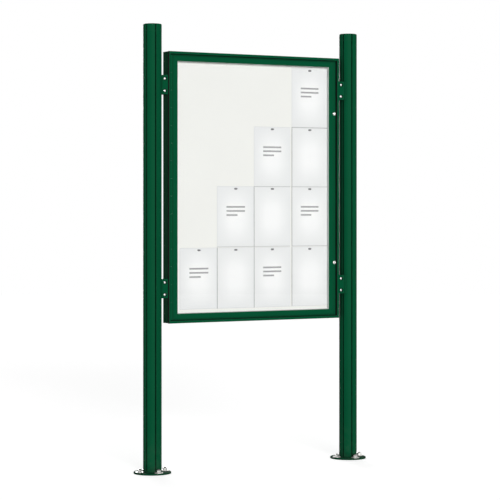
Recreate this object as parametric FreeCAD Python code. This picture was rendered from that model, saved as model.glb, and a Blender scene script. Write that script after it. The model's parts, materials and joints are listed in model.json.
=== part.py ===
"""Lockable notice board on two fluted posts, in millimetres, +Z up, front towards -Y.

A shallow display case hangs between two round posts. Four two-jaw clamps join the grooves
of the posts to the grooves in the sides of the case. The glazed door swings on a hinge
along its left edge, and two cam locks hold its right edge. The origin is on the ground,
midway between the posts.
"""
import FreeCAD, Part
import math
import os

Vector = FreeCAD.Vector

# Sheets of paper, which the case is sized for, as columns filled from the bottom row
SHEET_WIDTH = 210.0
SHEET_HEIGHT = 297.0
SHEET_THICKNESS = 0.4
SHEET_SPACING = 0.5
SHEETS_IN_COLUMN = (1, 2, 3, 4)
SHEET_ROWS = 4
SHEET_GRID_OFFSET = 8.5
SHEET_TOP_DROP = 4.0
MAGNET_WIDTH = 17.0
MAGNET_HEIGHT = 9.0
MAGNET_THICKNESS = 4.0
MAGNET_DROP = 12.0

# Posts: round extrusions with six slots, on round foot plates
POST_CLEARANCE = 28.0
POST_RADIUS = 44.5
POST_BORE_RADIUS = 32.5
POST_ABOVE_CASE = 95.0
SLOT_COUNT = 6
SLOT_TURN = -6.0
SLOT_MOUTH = 6.0
SLOT_FLARE = 1.0
SLOT_LIP = 3.0
SLOT_WIDTH = 14.0
SLOT_DEPTH = 9.5
SLOT_FLOOR_CORNER = 2.0

# Post caps
CAP_HEIGHT = 34.0
CAP_EDGE_RADIUS = 5.0
CAP_GROOVE_DEPTH = 8.0
CAP_PLUG_DEPTH = 22.0
CAP_PLUG_WALL = 3.0

# Foot plates, spigots and anchors
PLATE_RADIUS = 90.0
PLATE_THICKNESS = 8.0
PLATE_CHAMFER = 1.5
ANCHOR_CIRCLE_RADIUS = 67.0
ANCHOR_COUNT = 4
ANCHOR_HOLE_RADIUS = 6.5
WASHER_RADIUS = 21.0
WASHER_THICKNESS = 3.0
ANCHOR_NUT_FLATS = 19.0
ANCHOR_NUT_HEIGHT = 10.8
ANCHOR_THREAD_RADIUS = 6.0
NUT_CORNER_TRIM = 0.985
SPIGOT_HEIGHT = 120.0
SPIGOT_WALL = 4.0
GRUB_RADIUS = 4.0
GRUB_HEIGHTS = (40.0, 90.0)
GRUB_LENGTH = 12.0
GRUB_INSET = 1.0

# Case: four mitred extrusions round a box open at the front
CASE_SIDE_MARGIN = 61.25
CASE_END_MARGIN = 56.25
CASE_DEPTH = 60.0
CASE_BOTTOM = 714.0
CASE_WALL = 10.5
CASE_SKIN = 2.5
CASE_FRONT_RADIUS = 1.5
CASE_INNER_RADIUS = 1.0
CASE_REAR_RADIUS = 2.0
LIP_OVERHANG = 1.25
LIP_DEPTH = 4.0
CORNER_STRIP_WIDTH = 4.75
CHAMBER_DEPTH = 26.0
CLAMP_GROOVE_OFFSET = 21.0
CLAMP_GROOVE_WIDTH = 5.0
CLAMP_GROOVE_DEPTH = 6.0
CENTRE_LINE_WIDTH = 3.0
CENTRE_LINE_DEPTH = 0.8
STOP_REACH = 7.0
STOP_THICKNESS = 1.5
REAR_FLANGE_REACH = 15.5
REAR_FLANGE_THICKNESS = 3.0

# Door: four mitred extrusions round the glazing, set back behind the lip of the case
DOOR_SETBACK = 11.5
DOOR_THICKNESS = 10.0
DOOR_GAP = 2.0
DOOR_FACE = 26.0
LOCK_STILE_EXTRA = 9.0
DOOR_BEVEL = 5.5
DOOR_BEVEL_DROP = 1.5
DOOR_EDGE_RADIUS = 3.0
DOOR_REAR_RADIUS = 0.5
DOOR_LIP_THICKNESS = 5.0
DOOR_SKIN = 2.0
DOOR_BOX_WIDTH = 22.5
DOOR_LINE_OFFSET = 6.0
DOOR_LINE_WIDTH = 2.0
DOOR_LINE_DEPTH = 1.2
GASKET_NOSE = 2.5
GASKET_NOSE_THICKNESS = 1.5
GASKET_THICKNESS = 1.0
GASKET_SINK = 0.5
GLASS_THICKNESS = 3.0
GLASS_EDGE_COVER = 8.0
BEAD_WIDTH = 9.0
SEAL_CLEARANCE = 0.2
SEAL_THICKNESS = 1.3
LIP_SEAL_THICKNESS = 1.0
LIP_SEAL_INSET = 1.5

# Corner cleats inside the extrusions
CLEAT_LEG = 55.0
CLEAT_CLEARANCE = 0.2
DOOR_CLEAT_THICKNESS = 7.0

# Hinge along the left edge of the door
HINGE_RADIUS = 5.5
HINGE_PIN_RADIUS = 2.75
HINGE_CLEARANCE = 0.05
HINGE_SIDE_GAP = 0.5
HINGE_LEAF = 1.5
HINGE_END_INSET = 4.0
HINGE_KNUCKLES = 15
KNUCKLE_GAP = 0.4
HINGE_SCREW_RADIUS = 2.0
HINGE_SCREW_HEAD_RADIUS = 3.6
HINGE_SCREW_HEAD = 1.2
HINGE_SCREW_LENGTH = 3.4

# Locks in the right edge of the door
LOCK_INSET = 9.0
LOCK_FROM_CASE_END = 277.5
LOCK_HEAD_RADIUS = 8.0
LOCK_HEAD_THICKNESS = 2.5
LOCK_HEAD_CHAMFER = 0.8
LOCK_BARREL_RADIUS = 6.0
LOCK_PLUG_RADIUS = 4.5
LOCK_CLEARANCE = 0.05
PLUG_RECESS = 0.6
LOCK_NUT_FLATS = 15.0
LOCK_NUT_THICKNESS = 3.0
LOCK_NOTCH_RADIUS = 11.0
KEY_SLOT = (1.3, 6.2, 4.0)
CAM_THICKNESS = 3.0
CAM_WIDTH = 14.0
CAM_REACH = 18.0
CAM_CORNER_RADIUS = 2.5
CAM_BEHIND_DOOR = 5.0
CAM_RUNNING_GAP = 0.4
CAM_SCREW_RADIUS = 1.6
CAM_SCREW_HEAD_RADIUS = 4.0
CAM_SCREW_HEAD = 1.2
CAM_SCREW_LENGTH = 6.0
STRIKE_THICKNESS = 1.5
STRIKE_HEIGHT = 64.0
STRIKE_DEPTH = 15.5
STRIKE_SLOT_MARGIN = 0.7
STRIKE_SLOT_EXTRA = 3.0
STRIKE_SCREW_RADIUS = 2.0
STRIKE_SCREW_HEAD_RADIUS = 3.4
STRIKE_SCREW_HEAD = 1.2
STRIKE_SCREW_LENGTH = 3.6

# Display panel, rear cover and what stiffens them
PANEL_FRONT = 2.0
PANEL_THICKNESS = 10.0
PANEL_GAP = 2.0
COVER_THICKNESS = 2.0
COVER_GAP = 1.0
BATTEN_COUNT = 4
BATTEN_WIDTH = 40.0
BATTEN_WALL = 2.0
BATTEN_FLANGE = 14.0
BATTEN_END_INSET = 20.0
RIVET_ROWS = 4
RIVET_RADIUS = 2.0
RIVET_HEAD_RADIUS = 4.0
RIVET_HEAD = 1.4

# Clamps between the posts and the case
CLAMP_FROM_CASE_TOP = 160.0
CLAMP_FROM_CASE_BOTTOM = 167.0
JAW_HEIGHT = 92.0
JAW_CORNER_RADIUS = 9.0
JAW_FRONT = 25.5
JAW_THICKNESS = 9.5
JAW_WING = 3.5
JAW_WING_ANGLE = 44.0
JAW_WING_ROOT = 8.0
JAW_POST_OVERLAP = 2.0
JAW_FIT = 0.2
JAW_HOOK_DEPTH = 6.0
JAW_TONGUE = 5.0
CLAMP_SCREW_OFFSET = 17.0
CLAMP_SCREW_PITCH = 58.5
CLAMP_SCREW_RADIUS = 4.0
CLAMP_HOLE_RADIUS = 4.5
CLAMP_SEAT_RADIUS = 8.2
CLAMP_SEAT_DEPTH = 5.5
CLAMP_COLLAR_RADIUS = 12.5
CLAMP_COLLAR_HEIGHT = 1.2
CLAMP_HEAD_RADIUS = 6.6
CLAMP_HEAD_HEIGHT = 3.4
CLAMP_HEAD_EDGE = 2.0
CLAMP_NUT_FLATS = 13.0
CLAMP_NUT_HEIGHT = 4.0

# Places that follow from the sizes above
GRID_WIDTH = len(SHEETS_IN_COLUMN) * (SHEET_WIDTH + SHEET_SPACING) - SHEET_SPACING
GRID_HEIGHT = SHEET_ROWS * (SHEET_HEIGHT + SHEET_SPACING) - SHEET_SPACING
CASE_SIDE = GRID_WIDTH / 2 + CASE_SIDE_MARGIN
CASE_TOP = CASE_BOTTOM + GRID_HEIGHT + 2 * CASE_END_MARGIN
POST_X = CASE_SIDE + POST_CLEARANCE + POST_RADIUS
POST_TOP = CASE_TOP + POST_ABOVE_CASE
CASE_FRONT = -CASE_DEPTH / 2
CASE_REAR = CASE_DEPTH / 2
LIP_REAR_FACE = CASE_FRONT + LIP_DEPTH
INNER_SIDE = CASE_SIDE - CASE_WALL
HINGE_AXIS = (-INNER_SIDE + HINGE_SIDE_GAP + HINGE_RADIUS, CASE_FRONT + HINGE_RADIUS)
DOOR_WIDTH_OF_BAR = DOOR_FACE + DOOR_BEVEL + GASKET_NOSE
DOOR_LEFT = HINGE_AXIS[0] + HINGE_RADIUS + HINGE_SIDE_GAP
DOOR_RIGHT = INNER_SIDE - DOOR_GAP
FRAME_RIGHT = DOOR_RIGHT - LOCK_STILE_EXTRA
DOOR_BOTTOM = CASE_BOTTOM + CASE_WALL + DOOR_GAP
DOOR_TOP = CASE_TOP - CASE_WALL - DOOR_GAP
DOOR_FRONT = CASE_FRONT + DOOR_SETBACK
DOOR_REAR = DOOR_FRONT + DOOR_THICKNESS
LIP_REAR = DOOR_FRONT + DOOR_LIP_THICKNESS
GLASS_FRONT = LIP_REAR + GASKET_THICKNESS
GLASS_REAR = GLASS_FRONT + GLASS_THICKNESS
STOP_REAR = DOOR_REAR + SEAL_CLEARANCE + SEAL_THICKNESS + STOP_THICKNESS
STOP_FRONT = STOP_REAR - STOP_THICKNESS
FLANGE_FRONT = CASE_REAR - REAR_FLANGE_THICKNESS
COVER_FRONT = FLANGE_FRONT - COVER_THICKNESS
PANEL_REAR = PANEL_FRONT + PANEL_THICKNESS
LOCK_X = DOOR_RIGHT - LOCK_INSET
LOCK_HEIGHTS = {"upper": CASE_TOP - LOCK_FROM_CASE_END, "lower": CASE_BOTTOM + LOCK_FROM_CASE_END}
CAM_FRONT = DOOR_REAR + CAM_BEHIND_DOOR
CAM_REAR = CAM_FRONT + CAM_THICKNESS
CLAMP_HEIGHTS = {"upper": CASE_TOP - CLAMP_FROM_CASE_TOP,
                 "lower": CASE_BOTTOM + CLAMP_FROM_CASE_BOTTOM}
SIDES = {"left": -1, "right": 1}
SHEET_TOP = DOOR_TOP - DOOR_WIDTH_OF_BAR - SHEET_TOP_DROP

# Turns from the left bar of a frame to each of its bars
FRAME_TURNS = {"left": 0.0, "bottom": -90.0, "right": 180.0, "top": 90.0}

# How far a cutter runs past what it cuts, and a piece into the one that it is joined to
OVERRUN = 1.0
SKIM = 0.01
# Share of half its width that the rounding of an end may take
ROUND_END = 0.98


def box(x0, x1, y0, y1, z0, z1):
    """Block between two opposite corners."""
    return Part.makeBox(x1 - x0, y1 - y0, z1 - z0, Vector(x0, y0, z0))


def rod(radius, start, end):
    """Round bar from one point to another."""
    start, end = Vector(*start), Vector(*end)
    return Part.makeCylinder(radius, (end - start).Length, start, end - start)


def tube(outer, inner, start, end):
    """Round tube from one point to another."""
    return rod(outer, start, end).cut(rod(inner, start, end))


def hex_nut(flats, bore, start, end):
    """Hexagonal nut with its corners taken off, from one point to another."""
    start, end = Vector(*start), Vector(*end)
    corner = flats / math.sqrt(3)
    axis = end - start
    blank = Part.makeCylinder(corner * NUT_CORNER_TRIM, axis.Length, start, axis)
    points = [Vector(corner * math.cos(math.radians(a)), corner * math.sin(math.radians(a)), 0)
              for a in range(0, 361, 60)]
    prism = Part.Face(Part.makePolygon(points)).extrude(Vector(0, 0, axis.Length))
    turn = FreeCAD.Rotation(Vector(0, 0, 1), axis)
    prism.Placement = FreeCAD.Placement(start, turn)
    return prism.common(blank).cut(Part.makeCylinder(bore, axis.Length, start, axis))


def countersunk(start, direction, radius, head_radius, head, length):
    """Flat-headed screw sunk flush into a surface, from a point on it."""
    start, direction = Vector(*start), Vector(*direction)
    cone = Part.makeCone(head_radius, radius, head, start, direction)
    return joined([cone, Part.makeCylinder(radius, length, start, direction)])


def outline(corners):
    """Closed face in the XY plane through corners (x, y, radius), each corner rounded."""
    points = [Vector(x, y, 0) for x, y, _ in corners]
    edges = []
    leave = []
    arrive = []
    arcs = []
    for index, (_, _, radius) in enumerate(corners):
        here = points[index]
        back = (points[index - 1] - here).normalize()
        ahead = (points[(index + 1) % len(points)] - here).normalize()
        if radius <= 0:
            arrive.append(here)
            leave.append(here)
            arcs.append(None)
            continue
        half = back.getAngle(ahead) / 2
        reach = radius / math.tan(half)
        centre = here + (back + ahead).normalize() * (radius / math.sin(half))
        middle = centre + (here - centre).normalize() * radius
        arrive.append(here + back * reach)
        leave.append(here + ahead * reach)
        arcs.append(Part.Arc(arrive[-1], middle, leave[-1]).toShape())
    for index, arc in enumerate(arcs):
        following = (index + 1) % len(points)
        if arc is not None:
            edges.append(arc)
        if (arrive[following] - leave[index]).Length > 1e-6:
            edges.append(Part.makeLine(leave[index], arrive[following]))
    return Part.Face(Part.Wire(edges))


def polygon(points):
    """Closed face in the XY plane through sharp points."""
    return outline([(x, y, 0) for x, y in points])


def upright(face, z0, z1):
    """Face in the XY plane pulled up from one height to another."""
    solid = face.extrude(Vector(0, 0, z1 - z0))
    solid.translate(Vector(0, 0, z0))
    return solid


def facing(face, y0, y1):
    """Face drawn as (x, z) pulled from front to rear between two depths."""
    solid = face.extrude(Vector(0, 0, y0 - y1))
    solid.rotate(Vector(0, 0, 0), Vector(1, 0, 0), 90)
    solid.translate(Vector(0, y0, 0))
    return solid


def turned(shape, angle, centre=(0, 0)):
    """Copy of a shape turned about a vertical line."""
    copy = shape.copy()
    copy.rotate(Vector(centre[0], centre[1], 0), Vector(0, 0, 1), angle)
    return copy


def mirrored(shape, side, along="x"):
    """The shape itself for side +1, or its mirror image across the middle for side -1."""
    if side > 0:
        return shape
    normal = Vector(1, 0, 0) if along == "x" else Vector(0, 1, 0)
    return shape.mirror(Vector(0, 0, 0), normal)


def joined(shapes):
    """One solid from overlapping ones."""
    shapes = list(shapes)
    return shapes[0].multiFuse(shapes[1:]).removeSplitter() if len(shapes) > 1 else shapes[0]


def frame_bar(section, width, rectangle, edge):
    """Mitred bar of a rectangular frame.

    section is a face in (inward from the mitred corner, depth), width its greatest inward
    reach, rectangle the corners' (x0, x1, z0, z1), and edge the bar's name. What the
    section has outside the corners runs on square to the ends.
    """
    x0, x1, z0, z1 = rectangle
    length = z1 - z0 if edge in ("left", "right") else x1 - x0
    bar = section.extrude(Vector(0, 0, length))
    bar.translate(Vector(0, 0, -length / 2))
    outside = -LOCK_STILE_EXTRA - OVERRUN
    mitre = facing(polygon([(outside, -length / 2), (0, -length / 2),
                            (width, width - length / 2), (width, length / 2 - width),
                            (0, length / 2), (outside, length / 2)]), -CASE_DEPTH, CASE_DEPTH)
    bar = bar.common(mitre)
    bar.rotate(Vector(0, 0, 0), Vector(0, 1, 0), FRAME_TURNS[edge])
    middle = Vector((x0 + x1) / 2, 0, (z0 + z1) / 2)
    offset = {"left": Vector(x0 - middle.x, 0, 0), "right": Vector(x1 - middle.x, 0, 0),
              "bottom": Vector(0, 0, z0 - middle.z), "top": Vector(0, 0, z1 - middle.z)}
    bar.translate(middle + offset[edge])
    return bar


def slot_cut(height0, height1, depth, undercut):
    """Cutter for the front slot of a post on the Z axis, from its mouth inwards."""
    half, flare = SLOT_MOUTH / 2, SLOT_MOUTH / 2 + SLOT_FLARE
    rim, lip, floor = POST_RADIUS, POST_RADIUS - SLOT_LIP, POST_RADIUS - depth
    wide = SLOT_WIDTH / 2
    points = [(-flare - OVERRUN, -rim - OVERRUN), (-half, -rim + SLOT_FLARE)]
    if undercut:
        corner = SLOT_FLOOR_CORNER
        points += [(-half, -lip), (-wide, -lip), (-wide, -floor - corner),
                   (-wide + corner, -floor), (wide - corner, -floor),
                   (wide, -floor - corner), (wide, -lip), (half, -lip)]
    else:
        points += [(-half, -floor), (half, -floor)]
    points += [(half, -rim + SLOT_FLARE), (flare + OVERRUN, -rim - OVERRUN)]
    return upright(polygon(points), height0, height1)


def slot_angles():
    """Turns from the front slot of a post to each of its slots, from square to the case."""
    return [SLOT_TURN + index * 360 / SLOT_COUNT for index in range(SLOT_COUNT)]


def post(side):
    """Fluted tube that stands on its foot plate."""
    body = tube(POST_RADIUS, POST_BORE_RADIUS, (0, 0, PLATE_THICKNESS), (0, 0, POST_TOP))
    cutter = slot_cut(PLATE_THICKNESS - OVERRUN, POST_TOP + OVERRUN, SLOT_DEPTH, True)
    body = body.cut([turned(cutter, angle) for angle in slot_angles()])
    body = body.cut([grub_hole(GRUB_RADIUS, z) for z in GRUB_HEIGHTS])
    body.translate(Vector(side * POST_X, 0, 0))
    return body


def post_cap(side):
    """Fluted cap, flush with the post, with a plug that goes down into its bore."""
    head = rod(POST_RADIUS, (0, 0, POST_TOP), (0, 0, POST_TOP + CAP_HEIGHT))
    rim = [e for e in head.Edges if e.BoundBox.ZMin > POST_TOP + CAP_HEIGHT - 0.1]
    head = head.makeFillet(CAP_EDGE_RADIUS, rim)
    cutter = slot_cut(POST_TOP - OVERRUN, POST_TOP + CAP_HEIGHT + OVERRUN, CAP_GROOVE_DEPTH, False)
    head = head.cut([turned(cutter, angle) for angle in slot_angles()])
    plug_radius = POST_BORE_RADIUS - JAW_FIT
    plug = tube(plug_radius, plug_radius - CAP_PLUG_WALL,
                (0, 0, POST_TOP - CAP_PLUG_DEPTH), (0, 0, POST_TOP))
    cap = joined([head, plug])
    cap.translate(Vector(side * POST_X, 0, 0))
    return cap


def anchor_places(side):
    """Centres of the anchors of one foot plate."""
    for index in range(ANCHOR_COUNT):
        angle = math.radians(index * 360 / ANCHOR_COUNT)
        yield (side * POST_X + ANCHOR_CIRCLE_RADIUS * math.cos(angle),
               ANCHOR_CIRCLE_RADIUS * math.sin(angle))


def foot_plate(side):
    """Round plate with a ring of anchor holes and a chamfered upper edge."""
    x = side * POST_X
    plate = rod(PLATE_RADIUS, (x, 0, 0), (x, 0, PLATE_THICKNESS))
    rim = [e for e in plate.Edges if e.BoundBox.ZMin > PLATE_THICKNESS - 0.1]
    plate = plate.makeChamfer(PLATE_CHAMFER, rim)
    holes = [rod(ANCHOR_HOLE_RADIUS, (a, b, -OVERRUN), (a, b, PLATE_THICKNESS + OVERRUN))
             for a, b in anchor_places(side)]
    return plate.cut(holes)


def foot_spigot(side):
    """Short tube that stands on the foot plate inside the post."""
    radius = POST_BORE_RADIUS - JAW_FIT
    body = tube(radius, radius - SPIGOT_WALL, (0, 0, PLATE_THICKNESS),
                (0, 0, PLATE_THICKNESS + SPIGOT_HEIGHT))
    body = body.cut([grub_hole(GRUB_RADIUS, z) for z in GRUB_HEIGHTS])
    body.translate(Vector(side * POST_X, 0, 0))
    return body


def grub_hole(radius, height):
    """Radial bore through the rear slot of a post on the Z axis, also used for the screw."""
    outer = POST_RADIUS - SLOT_LIP - GRUB_INSET
    z = PLATE_THICKNESS + height
    return turned(rod(radius, (0, outer - GRUB_LENGTH, z), (0, outer, z)), SLOT_TURN)


def grub_screws():
    """Set screws that pin the posts to their spigots from the rear slots."""
    for side in SIDES.values():
        for height in GRUB_HEIGHTS:
            screw = grub_hole(GRUB_RADIUS, height)
            screw.translate(Vector(side * POST_X, 0, 0))
            yield screw


def anchor_washers():
    """Broad washers on both foot plates."""
    top = PLATE_THICKNESS + WASHER_THICKNESS
    for side in SIDES.values():
        for a, b in anchor_places(side):
            yield tube(WASHER_RADIUS, ANCHOR_HOLE_RADIUS, (a, b, PLATE_THICKNESS), (a, b, top))


def anchor_nuts():
    """Nuts on the washers."""
    low = PLATE_THICKNESS + WASHER_THICKNESS
    for side in SIDES.values():
        for a, b in anchor_places(side):
            yield hex_nut(ANCHOR_NUT_FLATS, ANCHOR_THREAD_RADIUS, (a, b, low),
                          (a, b, low + ANCHOR_NUT_HEIGHT))


def case_rectangle(margin=0.0):
    """Outer faces of the case, as (x0, x1, z0, z1), moved outwards by a margin."""
    return (-CASE_SIDE - margin, CASE_SIDE + margin, CASE_BOTTOM - margin, CASE_TOP + margin)


def case_section(stop_reach):
    """Section of the case wall: lip, door stop, rear flange, clamp grooves and centre line."""
    wall, stop = CASE_WALL, CASE_WALL + stop_reach
    flange = CASE_WALL + REAR_FLANGE_REACH
    face = outline([
        (-LIP_OVERHANG, CASE_FRONT, CASE_FRONT_RADIUS), (wall, CASE_FRONT, CASE_INNER_RADIUS),
        (wall, STOP_FRONT, 0), (stop, STOP_FRONT, 0), (stop, STOP_REAR, 0), (wall, STOP_REAR, 0),
        (wall, FLANGE_FRONT, 0), (flange, FLANGE_FRONT, 0), (flange, CASE_REAR, 0),
        (0, CASE_REAR, CASE_REAR_RADIUS), (0, LIP_REAR_FACE, 0), (-LIP_OVERHANG, LIP_REAR_FACE, 0)])
    cuts = [polygon_box(CASE_SKIN, wall - CASE_SKIN, -CHAMBER_DEPTH / 2, CHAMBER_DEPTH / 2),
            polygon_box(-OVERRUN, CENTRE_LINE_DEPTH, -CENTRE_LINE_WIDTH / 2, CENTRE_LINE_WIDTH / 2)]
    for offset in (-CLAMP_GROOVE_OFFSET, CLAMP_GROOVE_OFFSET):
        cuts.append(polygon_box(-OVERRUN, CLAMP_GROOVE_DEPTH, offset - CLAMP_GROOVE_WIDTH / 2,
                                offset + CLAMP_GROOVE_WIDTH / 2))
    return face.cut(cuts).Faces[0]


def polygon_box(x0, x1, y0, y1):
    """Rectangular face in the XY plane."""
    return polygon([(x0, y0), (x1, y0), (x1, y1), (x0, y1)])


def case_frame_bar(section, width, edge):
    """Mitred bar of the case from a section that may reach out as far as the lip."""
    section.translate(Vector(LIP_OVERHANG, 0, 0))
    return frame_bar(section, width + LIP_OVERHANG, case_rectangle(LIP_OVERHANG), edge)


def corner_strip():
    """Rubber strip in the front corner of the case beside the hinge, where the door folds back."""
    return case_frame_bar(corner_strip_section(), CORNER_STRIP_WIDTH, "left")


def corner_strip_section():
    """Section of the rubber strip and of its rebate."""
    inner = CORNER_STRIP_WIDTH - LIP_OVERHANG
    return outline([(-LIP_OVERHANG, CASE_FRONT, CASE_FRONT_RADIUS), (inner, CASE_FRONT, 0),
                    (inner, LIP_REAR_FACE, 0), (-LIP_OVERHANG, LIP_REAR_FACE, 0)])


def case_bar(edge):
    """One extrusion of the case, with what the hinge and the locks need cut out of it."""
    reach = STOP_REACH
    if edge == "left":
        reach += DOOR_LEFT + INNER_SIDE - DOOR_GAP
    width = CASE_WALL + max(reach, REAR_FLANGE_REACH)
    section = case_section(reach)
    if edge == "left":
        section = section.cut(corner_strip_section()).Faces[0]
    bar = case_frame_bar(section, width, edge)
    if edge == "right":
        for height in LOCK_HEIGHTS.values():
            bar = bar.cut([strike_slot(height, INNER_SIDE - OVERRUN, CASE_SIDE - CASE_SKIN),
                           lock_notch(height)])
        bar = bar.cut(list(strike_screws()))
    if edge == "left":
        bar = bar.cut(list(hinge_screws(-1)))
    return bar


def strike_slot(height, x0, x1):
    """Space that the cam's end turns into, between two distances to the right."""
    half = math.sqrt(CAM_REACH ** 2 - (INNER_SIDE - LOCK_X) ** 2) + STRIKE_SLOT_EXTRA
    return box(x0, x1, CAM_FRONT - STRIKE_SLOT_MARGIN, CAM_REAR + STRIKE_SLOT_MARGIN,
               height - half, height + half)


def lock_notch(height):
    """Round space behind the door, cut from the stop and the seal, for the lock's nut."""
    space = rod(LOCK_NOTCH_RADIUS, (LOCK_X, DOOR_REAR, height), (LOCK_X, STOP_REAR + SKIM, height))
    return space.cut(box(INNER_SIDE, CASE_SIDE, CASE_FRONT, CASE_REAR,
                         height - LOCK_NOTCH_RADIUS, height + LOCK_NOTCH_RADIUS))


def cleat(corner_x, corner_z, along_x, along_z, thickness, y0, y1, leg):
    """L-shaped corner cleat from a corner point, its legs running inwards."""
    flat = box(min(0, along_x * leg), max(0, along_x * leg), y0, y1,
               min(0, along_z * thickness), max(0, along_z * thickness))
    rise = box(min(0, along_x * thickness), max(0, along_x * thickness), y0, y1,
               min(0, along_z * leg), max(0, along_z * leg))
    piece = joined([flat, rise])
    piece.translate(Vector(corner_x, 0, corner_z))
    return piece


def frame_cleats(rectangle, skin, thickness, y0, y1):
    """Four corner cleats in the chambers of a mitred frame."""
    x0, x1, z0, z1 = rectangle
    inset = skin + CLEAT_CLEARANCE
    for corner_x, along_x in ((x0 + inset, 1), (x1 - inset, -1)):
        for corner_z, along_z in ((z0 + inset, 1), (z1 - inset, -1)):
            yield cleat(corner_x, corner_z, along_x, along_z, thickness - 2 * CLEAT_CLEARANCE,
                        y0 + CLEAT_CLEARANCE, y1 - CLEAT_CLEARANCE, CLEAT_LEG)


def case_cleats():
    """Cleats that hold the corners of the case."""
    return frame_cleats(case_rectangle(), CASE_SKIN, CASE_WALL - 2 * CASE_SKIN,
                        -CHAMBER_DEPTH / 2, CHAMBER_DEPTH / 2)


def door_cleats():
    """Cleats that hold the corners of the door."""
    return frame_cleats(door_rectangle(), DOOR_SKIN, DOOR_CLEAT_THICKNESS,
                        DOOR_FRONT + DOOR_SKIN, DOOR_REAR - DOOR_SKIN)


def door_rectangle():
    """Mitred corners of the door, as (x0, x1, z0, z1)."""
    return DOOR_LEFT, FRAME_RIGHT, DOOR_BOTTOM, DOOR_TOP


def glass_rectangle():
    """Edges of the glazing, hidden behind the lip of the door."""
    inset = DOOR_FACE + DOOR_BEVEL - GLASS_EDGE_COVER
    x0, x1, z0, z1 = door_rectangle()
    return x0 + inset, x1 - inset, z0 + inset, z1 - inset


def door_section(extra):
    """Section of the door: hollow box, face with a fine line, bevelled lip over the glazing.

    extra is how far the box runs on beyond the mitred corners.
    """
    lip = DOOR_FACE + DOOR_BEVEL
    face = outline([
        (-extra, DOOR_FRONT, DOOR_EDGE_RADIUS), (DOOR_FACE, DOOR_FRONT, 0),
        (lip, DOOR_FRONT + DOOR_BEVEL_DROP, 0), (lip, LIP_REAR, 0), (DOOR_BOX_WIDTH, LIP_REAR, 0),
        (DOOR_BOX_WIDTH, DOOR_REAR, 0), (-extra, DOOR_REAR, DOOR_REAR_RADIUS)])
    chamber = polygon_box(DOOR_SKIN - extra, DOOR_BOX_WIDTH - DOOR_SKIN,
                          DOOR_FRONT + DOOR_SKIN, DOOR_REAR - DOOR_SKIN)
    line = polygon([(DOOR_LINE_OFFSET - DOOR_LINE_WIDTH / 2, DOOR_FRONT - SKIM),
                    (DOOR_LINE_OFFSET + DOOR_LINE_WIDTH / 2, DOOR_FRONT - SKIM),
                    (DOOR_LINE_OFFSET, DOOR_FRONT + DOOR_LINE_DEPTH)])
    return face.cut([chamber, line]).Faces[0]


def door_bar(edge):
    """One extrusion of the door, the right one broader and bored for the locks."""
    section = door_section(LOCK_STILE_EXTRA if edge == "right" else 0)
    bar = frame_bar(section, DOOR_FACE + DOOR_BEVEL, door_rectangle(), edge)
    if edge == "right":
        bores = [rod(LOCK_BARREL_RADIUS + LOCK_CLEARANCE, (LOCK_X, DOOR_FRONT - OVERRUN, z),
                     (LOCK_X, DOOR_REAR + OVERRUN, z)) for z in LOCK_HEIGHTS.values()]
        bar = bar.cut(bores)
    if edge == "left":
        bar = bar.cut(list(hinge_screws(1)))
    return bar


def gasket_strips():
    """Rubber strips between the lip of the door and the glazing, with a nose that shows."""
    lip = DOOR_FACE + DOOR_BEVEL
    width = DOOR_WIDTH_OF_BAR
    section = outline([
        (lip, DOOR_FRONT + DOOR_BEVEL_DROP + GASKET_SINK, 0),
        (width, GLASS_FRONT - GASKET_NOSE_THICKNESS, GASKET_SINK),
        (width, GLASS_FRONT, 0), (lip - GLASS_EDGE_COVER, GLASS_FRONT, 0),
        (lip - GLASS_EDGE_COVER, LIP_REAR, 0), (lip, LIP_REAR, 0)])
    for edge in FRAME_TURNS:
        yield frame_bar(section, width, door_rectangle(), edge)


def glazing():
    """Clear sheet of the door."""
    x0, x1, z0, z1 = glass_rectangle()
    return box(x0, x1, GLASS_FRONT, GLASS_REAR, z0, z1)


def glazing_beads():
    """Strips that hold the glazing from behind, level with the rear of the door."""
    section = polygon_box(DOOR_BOX_WIDTH, DOOR_BOX_WIDTH + BEAD_WIDTH, GLASS_REAR, DOOR_REAR)
    for edge in FRAME_TURNS:
        yield frame_bar(section, DOOR_BOX_WIDTH + BEAD_WIDTH, door_rectangle(), edge)


def seal_strips():
    """Rubber strips on the stop of the case behind the door, and inside its lip beside the door."""
    for edge in FRAME_TURNS:
        if edge != "left":
            wall = CASE_WALL
            section = polygon_box(wall, wall + LIP_SEAL_THICKNESS, CASE_FRONT + LIP_SEAL_INSET,
                                  DOOR_FRONT)
            yield frame_bar(section, wall + LIP_SEAL_THICKNESS, case_rectangle(), edge)
        reach = STOP_REACH
        start = CASE_WALL + DOOR_GAP
        if edge == "left":
            start += DOOR_LEFT + INNER_SIDE - DOOR_GAP
            reach += DOOR_LEFT + INNER_SIDE - DOOR_GAP
        section = polygon_box(start, CASE_WALL + reach, DOOR_REAR + SEAL_CLEARANCE, STOP_FRONT)
        strip = frame_bar(section, CASE_WALL + reach, case_rectangle(), edge)
        if edge == "right":
            strip = strip.cut([lock_notch(z) for z in LOCK_HEIGHTS.values()])
        yield from strip.Solids


def knuckle_spans(first):
    """Heights of every second knuckle, from the given one."""
    low, high = DOOR_BOTTOM + HINGE_END_INSET, DOOR_TOP - HINGE_END_INSET
    pitch = (high - low) / HINGE_KNUCKLES
    for index in range(first, HINGE_KNUCKLES, 2):
        yield low + index * pitch + KNUCKLE_GAP / 2, low + (index + 1) * pitch - KNUCKLE_GAP / 2


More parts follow.
